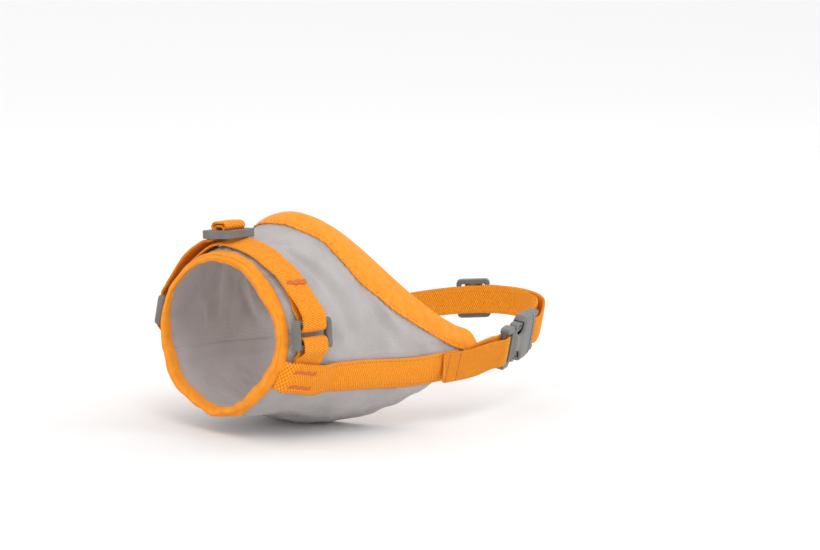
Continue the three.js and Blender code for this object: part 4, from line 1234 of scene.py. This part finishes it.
# Line of the webbing where it is sewn over the left jaw strap.
LAID = [(NECK_X, SEWN_Y, NECK_Z), (NECK_X, 119, NECK_Z), (NECK_X, 131, NECK_Z + 0.4)]
SLIDER_RISE = SLIDER["depth"] / 2 + 1.5 * WEB_T + 3 * GAP


def in_buckle(*xz):
    return local_points(BUCKLE, [(x, 0, z) for x, z in xz])


def neck_up(points):
    """Width of the neck webbing: upright at the cheeks and neck, in line with the buckle beside it."""
    share = (smooth(points[:, 0], 0, 30) * smooth(points[:, 1], 128, 158))[:, None]
    return unit(UPRIGHT * (1 - share) + UP * share)


def neck_line():
    side = [(-x, y, z) for x, y, z in LAID] + [(-52.2, 150, -17)]
    back = [(-47.5, 178, -13.6), (-39, 201, -10.4), (-26, 219, -7.6), (-12, 228.5, -6), (2, 231.5, -5.4)]
    back += [(15, 228.6, -6), (25.5, 220.5, -7.5)]
    at_bar = in_buckle((LATCH_BAR + 6, -2.9), (LATCH_BAR, -BAR_FOLD))
    return spline(np.vstack([side, back, at_bar]), 0.3)


def at_share(line, share):
    i = share * (len(line) - 1)
    k = min(int(i), len(line) - 2)
    return line[k] + (line[k + 1] - line[k]) * (i - k), unit(line[min(k + 3, len(line) - 1)] - line[k - 3])


NECK = neck_line()
slider_point, slider_tangent = at_share(NECK, SLIDER_AT)
slider_up = unit(UPRIGHT - slider_tangent * (UPRIGHT @ slider_tangent))
slider_away = -np.cross(slider_tangent, slider_up)
slider_across = np.cross(slider_away, slider_tangent)
slider_middle = slider_point + slider_away * SLIDER_RISE
NECK_SLIDER = frame_matrix(slider_middle, slider_tangent, slider_across, slider_away)


def neck_webbing():
    """One length from the right cheek round the neck, through the latch and back into the slider."""
    turn = np.radians(np.linspace(270, 90, 15))[1:]
    bar = in_buckle(*[(LATCH_BAR + BAR_FOLD * math.cos(t), BAR_FOLD * math.sin(t)) for t in turn])

    def outwards(share, rise):
        point, tangent = at_share(NECK, share)
        return point - np.cross(tangent, neck_up(point[None])[0]) * rise

    loose = [outwards(0.88, 4.2), outwards(0.8, 3.4), outwards(0.74, 2.4)]
    off_bar = in_buckle((LATCH_BAR + 5, BAR_FOLD + 0.3))
    back = spline(np.vstack([bar[-1:], off_bar, loose, into_slot(NECK_SLIDER, 1)]), 0.4)
    line = even(smoothed(np.vstack([NECK, bar[:-1], back]), 0.4, 6), RIB / 4)
    sections, uvs = webbing_sections(line, neck_up(line))
    split = int(np.argmax(line[:, 1] > 152))
    cheek = tube("neck_webbing_cheek", sections[: split + 1], WEBBING, uvs[: split + 1])
    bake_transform(cheek)
    own(cheek, None, "webbing", "neck_strap")
    fold = in_buckle((LATCH_BAR + BAR_FOLD, 0))
    at_bar = split + int(np.argmin(np.linalg.norm(line[split:] - fold, axis=1)))
    end = at_bar + int(np.argmax(line[at_bar:, 0] < -4))
    back = tube("neck_webbing_back", sections[split : end + 1], WEBBING, uvs[split : end + 1])
    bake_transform(back)
    own(back, None, "webbing", "neck_strap", "latch_strap")
    tail = tube("neck_webbing_tail", sections[end:], WEBBING, uvs[end:])
    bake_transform(tail)
    own(tail, None, "webbing", "latch_strap")


def buckle_webbing():
    """Ribbed webbing sewn over the jaw strap's end, through the socket and back behind the strap."""
    near = [(NECK_X - 0.1, 147, NECK_Z + 2.3)]
    outer = spline(np.vstack([LAID, near, in_buckle((-5, 2.8), (0, BAR_FOLD))]), 0.4)
    turn = np.radians(np.linspace(90, -90, 15))[1:]
    bar = in_buckle(*[(BAR_FOLD * math.cos(t), BAR_FOLD * math.sin(t)) for t in turn])
    inner = spline(
        np.vstack([bar[-1:], in_buckle((-5, -2.9)), [(NECK_X - 4, 150, NECK_Z + 4)],
                   [(NECK_X - LAYER - 1.4, 138, NECK_Z + 2.2)]]), 0.4
    )
    line = smoothed(np.vstack([outer[:-1], in_buckle((0, BAR_FOLD)), bar[:-1], inner]), 0.4, 5)
    piece = webbing("buckle_webbing", line, neck_up, WEBBING_FINE, rib=FINE_RIB, relief=0.1, pits=False)
    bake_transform(piece)
    own(piece, None, "webbing", "buckle_strap")


def neck_tack(side, name, number, y):
    """Row of stitches that slants across the webbing where the neck loop is sewn on."""
    t = np.linspace(-0.5, 0.5, 13)[:, None]
    slant = np.array([0, 3.4, 13.2])
    places = (side * (NECK_X + WEB_T / 2 + 0.14), y, NECK_Z) + slant * t
    directions, normals = np.tile(slant, (len(t), 1)), np.tile([side, 0, 0], (len(t), 1))
    row = stitches(f"neck_stitches_{name}_{number}", places, directions, normals, 1.05, 0.3)
    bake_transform(row)
    own(row, None, "thread", f"neck_tack_{name}_{number}")


neck_webbing()
buckle_webbing()
for side, name in ((1, "left"), (-1, "right")):
    for number, y in ((1, SEWN_Y + 2.2), (2, SEWN_Y + 11)):
        neck_tack(side, name, number, y)
own(slider("neck_tri_glide", NECK_SLIDER), "neck_slider", "hardware", "neck_slider")
own(slider_turn("neck_slider_arch", NECK_SLIDER), "neck_slider", "webbing", "neck_slider_turn")


# ---- floor, light and camera -------------------------------------------------------------------
SKY = 1.08  # strength of the white surroundings
FLOOR_HALF = 3.0
AZIMUTH, ELEVATION, ROLL = math.radians(41), math.radians(10), math.radians(2.5)
DISTANCE, LENS = 1.8, 161.3  # metres from the origin, and millimetres
AIM_RIGHT, AIM_UP = 0.09065, 0.0294  # the middle of the picture, from the origin


def area_light(name, place, target, size, power):
    data = bpy.data.lights.new(name, "AREA")
    data.shape, data.size, data.energy = "DISK", size, power
    light = bpy.data.objects.new(name, data)
    bpy.context.scene.collection.objects.link(light)
    light.location = place
    light.rotation_euler = (Vector(target) - Vector(place)).to_track_quat("-Z", "Y").to_euler()


def stage():
    low = CAD_BOX[0][2]
    corners = [(-1, -1), (1, -1), (1, 1), (-1, 1)]
    points = [(x * FLOOR_HALF / MM, y * FLOOR_HALF / MM, low / MM) for x, y in corners]
    floor = mesh_object("floor", points, [[0, 1, 2, 3]], floor_material())
    world = bpy.data.worlds.new("studio")
    world.use_nodes = True
    world.node_tree.nodes["Background"].inputs[0].default_value = (1, 1, 1, 1)
    world.node_tree.nodes["Background"].inputs[1].default_value = SKY
    bpy.context.scene.world = world
    area_light("key", (0.75, -0.75, 1.2), (0, 0.06, 0), 0.7, 4.5)
    area_light("back", (0.4, 1.2, 0.9), (0, 0.1, 0), 0.8, 3)


def floor_material():
    s = Shader("floor", (0.86, 0.86, 0.86), 0.9, specular=0.1)
    s.roughness(s.noise(3.0), 0.85, 0.95)
    return s.material


def camera():
    """Long lens low on the dog's left front, rolled slightly."""
    flat = math.cos(ELEVATION)
    back = np.array([math.sin(AZIMUTH) * flat, -math.cos(AZIMUTH) * flat, math.sin(ELEVATION)])
    level = unit(np.cross((0, 0, 1), back))
    upright = np.cross(back, level)
    right = level * math.cos(ROLL) + upright * math.sin(ROLL)
    up = upright * math.cos(ROLL) - level * math.sin(ROLL)
    data = bpy.data.cameras.new("camera")
    data.sensor_width, data.lens = 36.0, LENS
    data.clip_start, data.clip_end = 0.05, 20
    obj = bpy.data.objects.new("camera", data)
    bpy.context.scene.collection.objects.link(obj)
    place = back * DISTANCE
    away = unit(place - right * AIM_RIGHT - up * AIM_UP)
    right = unit(np.cross(up, away))
    matrix = frame_matrix(place, right, np.cross(away, right), away)
    obj.matrix_world = Matrix(matrix.tolist())
    bpy.context.scene.camera = obj


stage()
camera()
bpy.context.scene.view_settings.view_transform = "Standard"
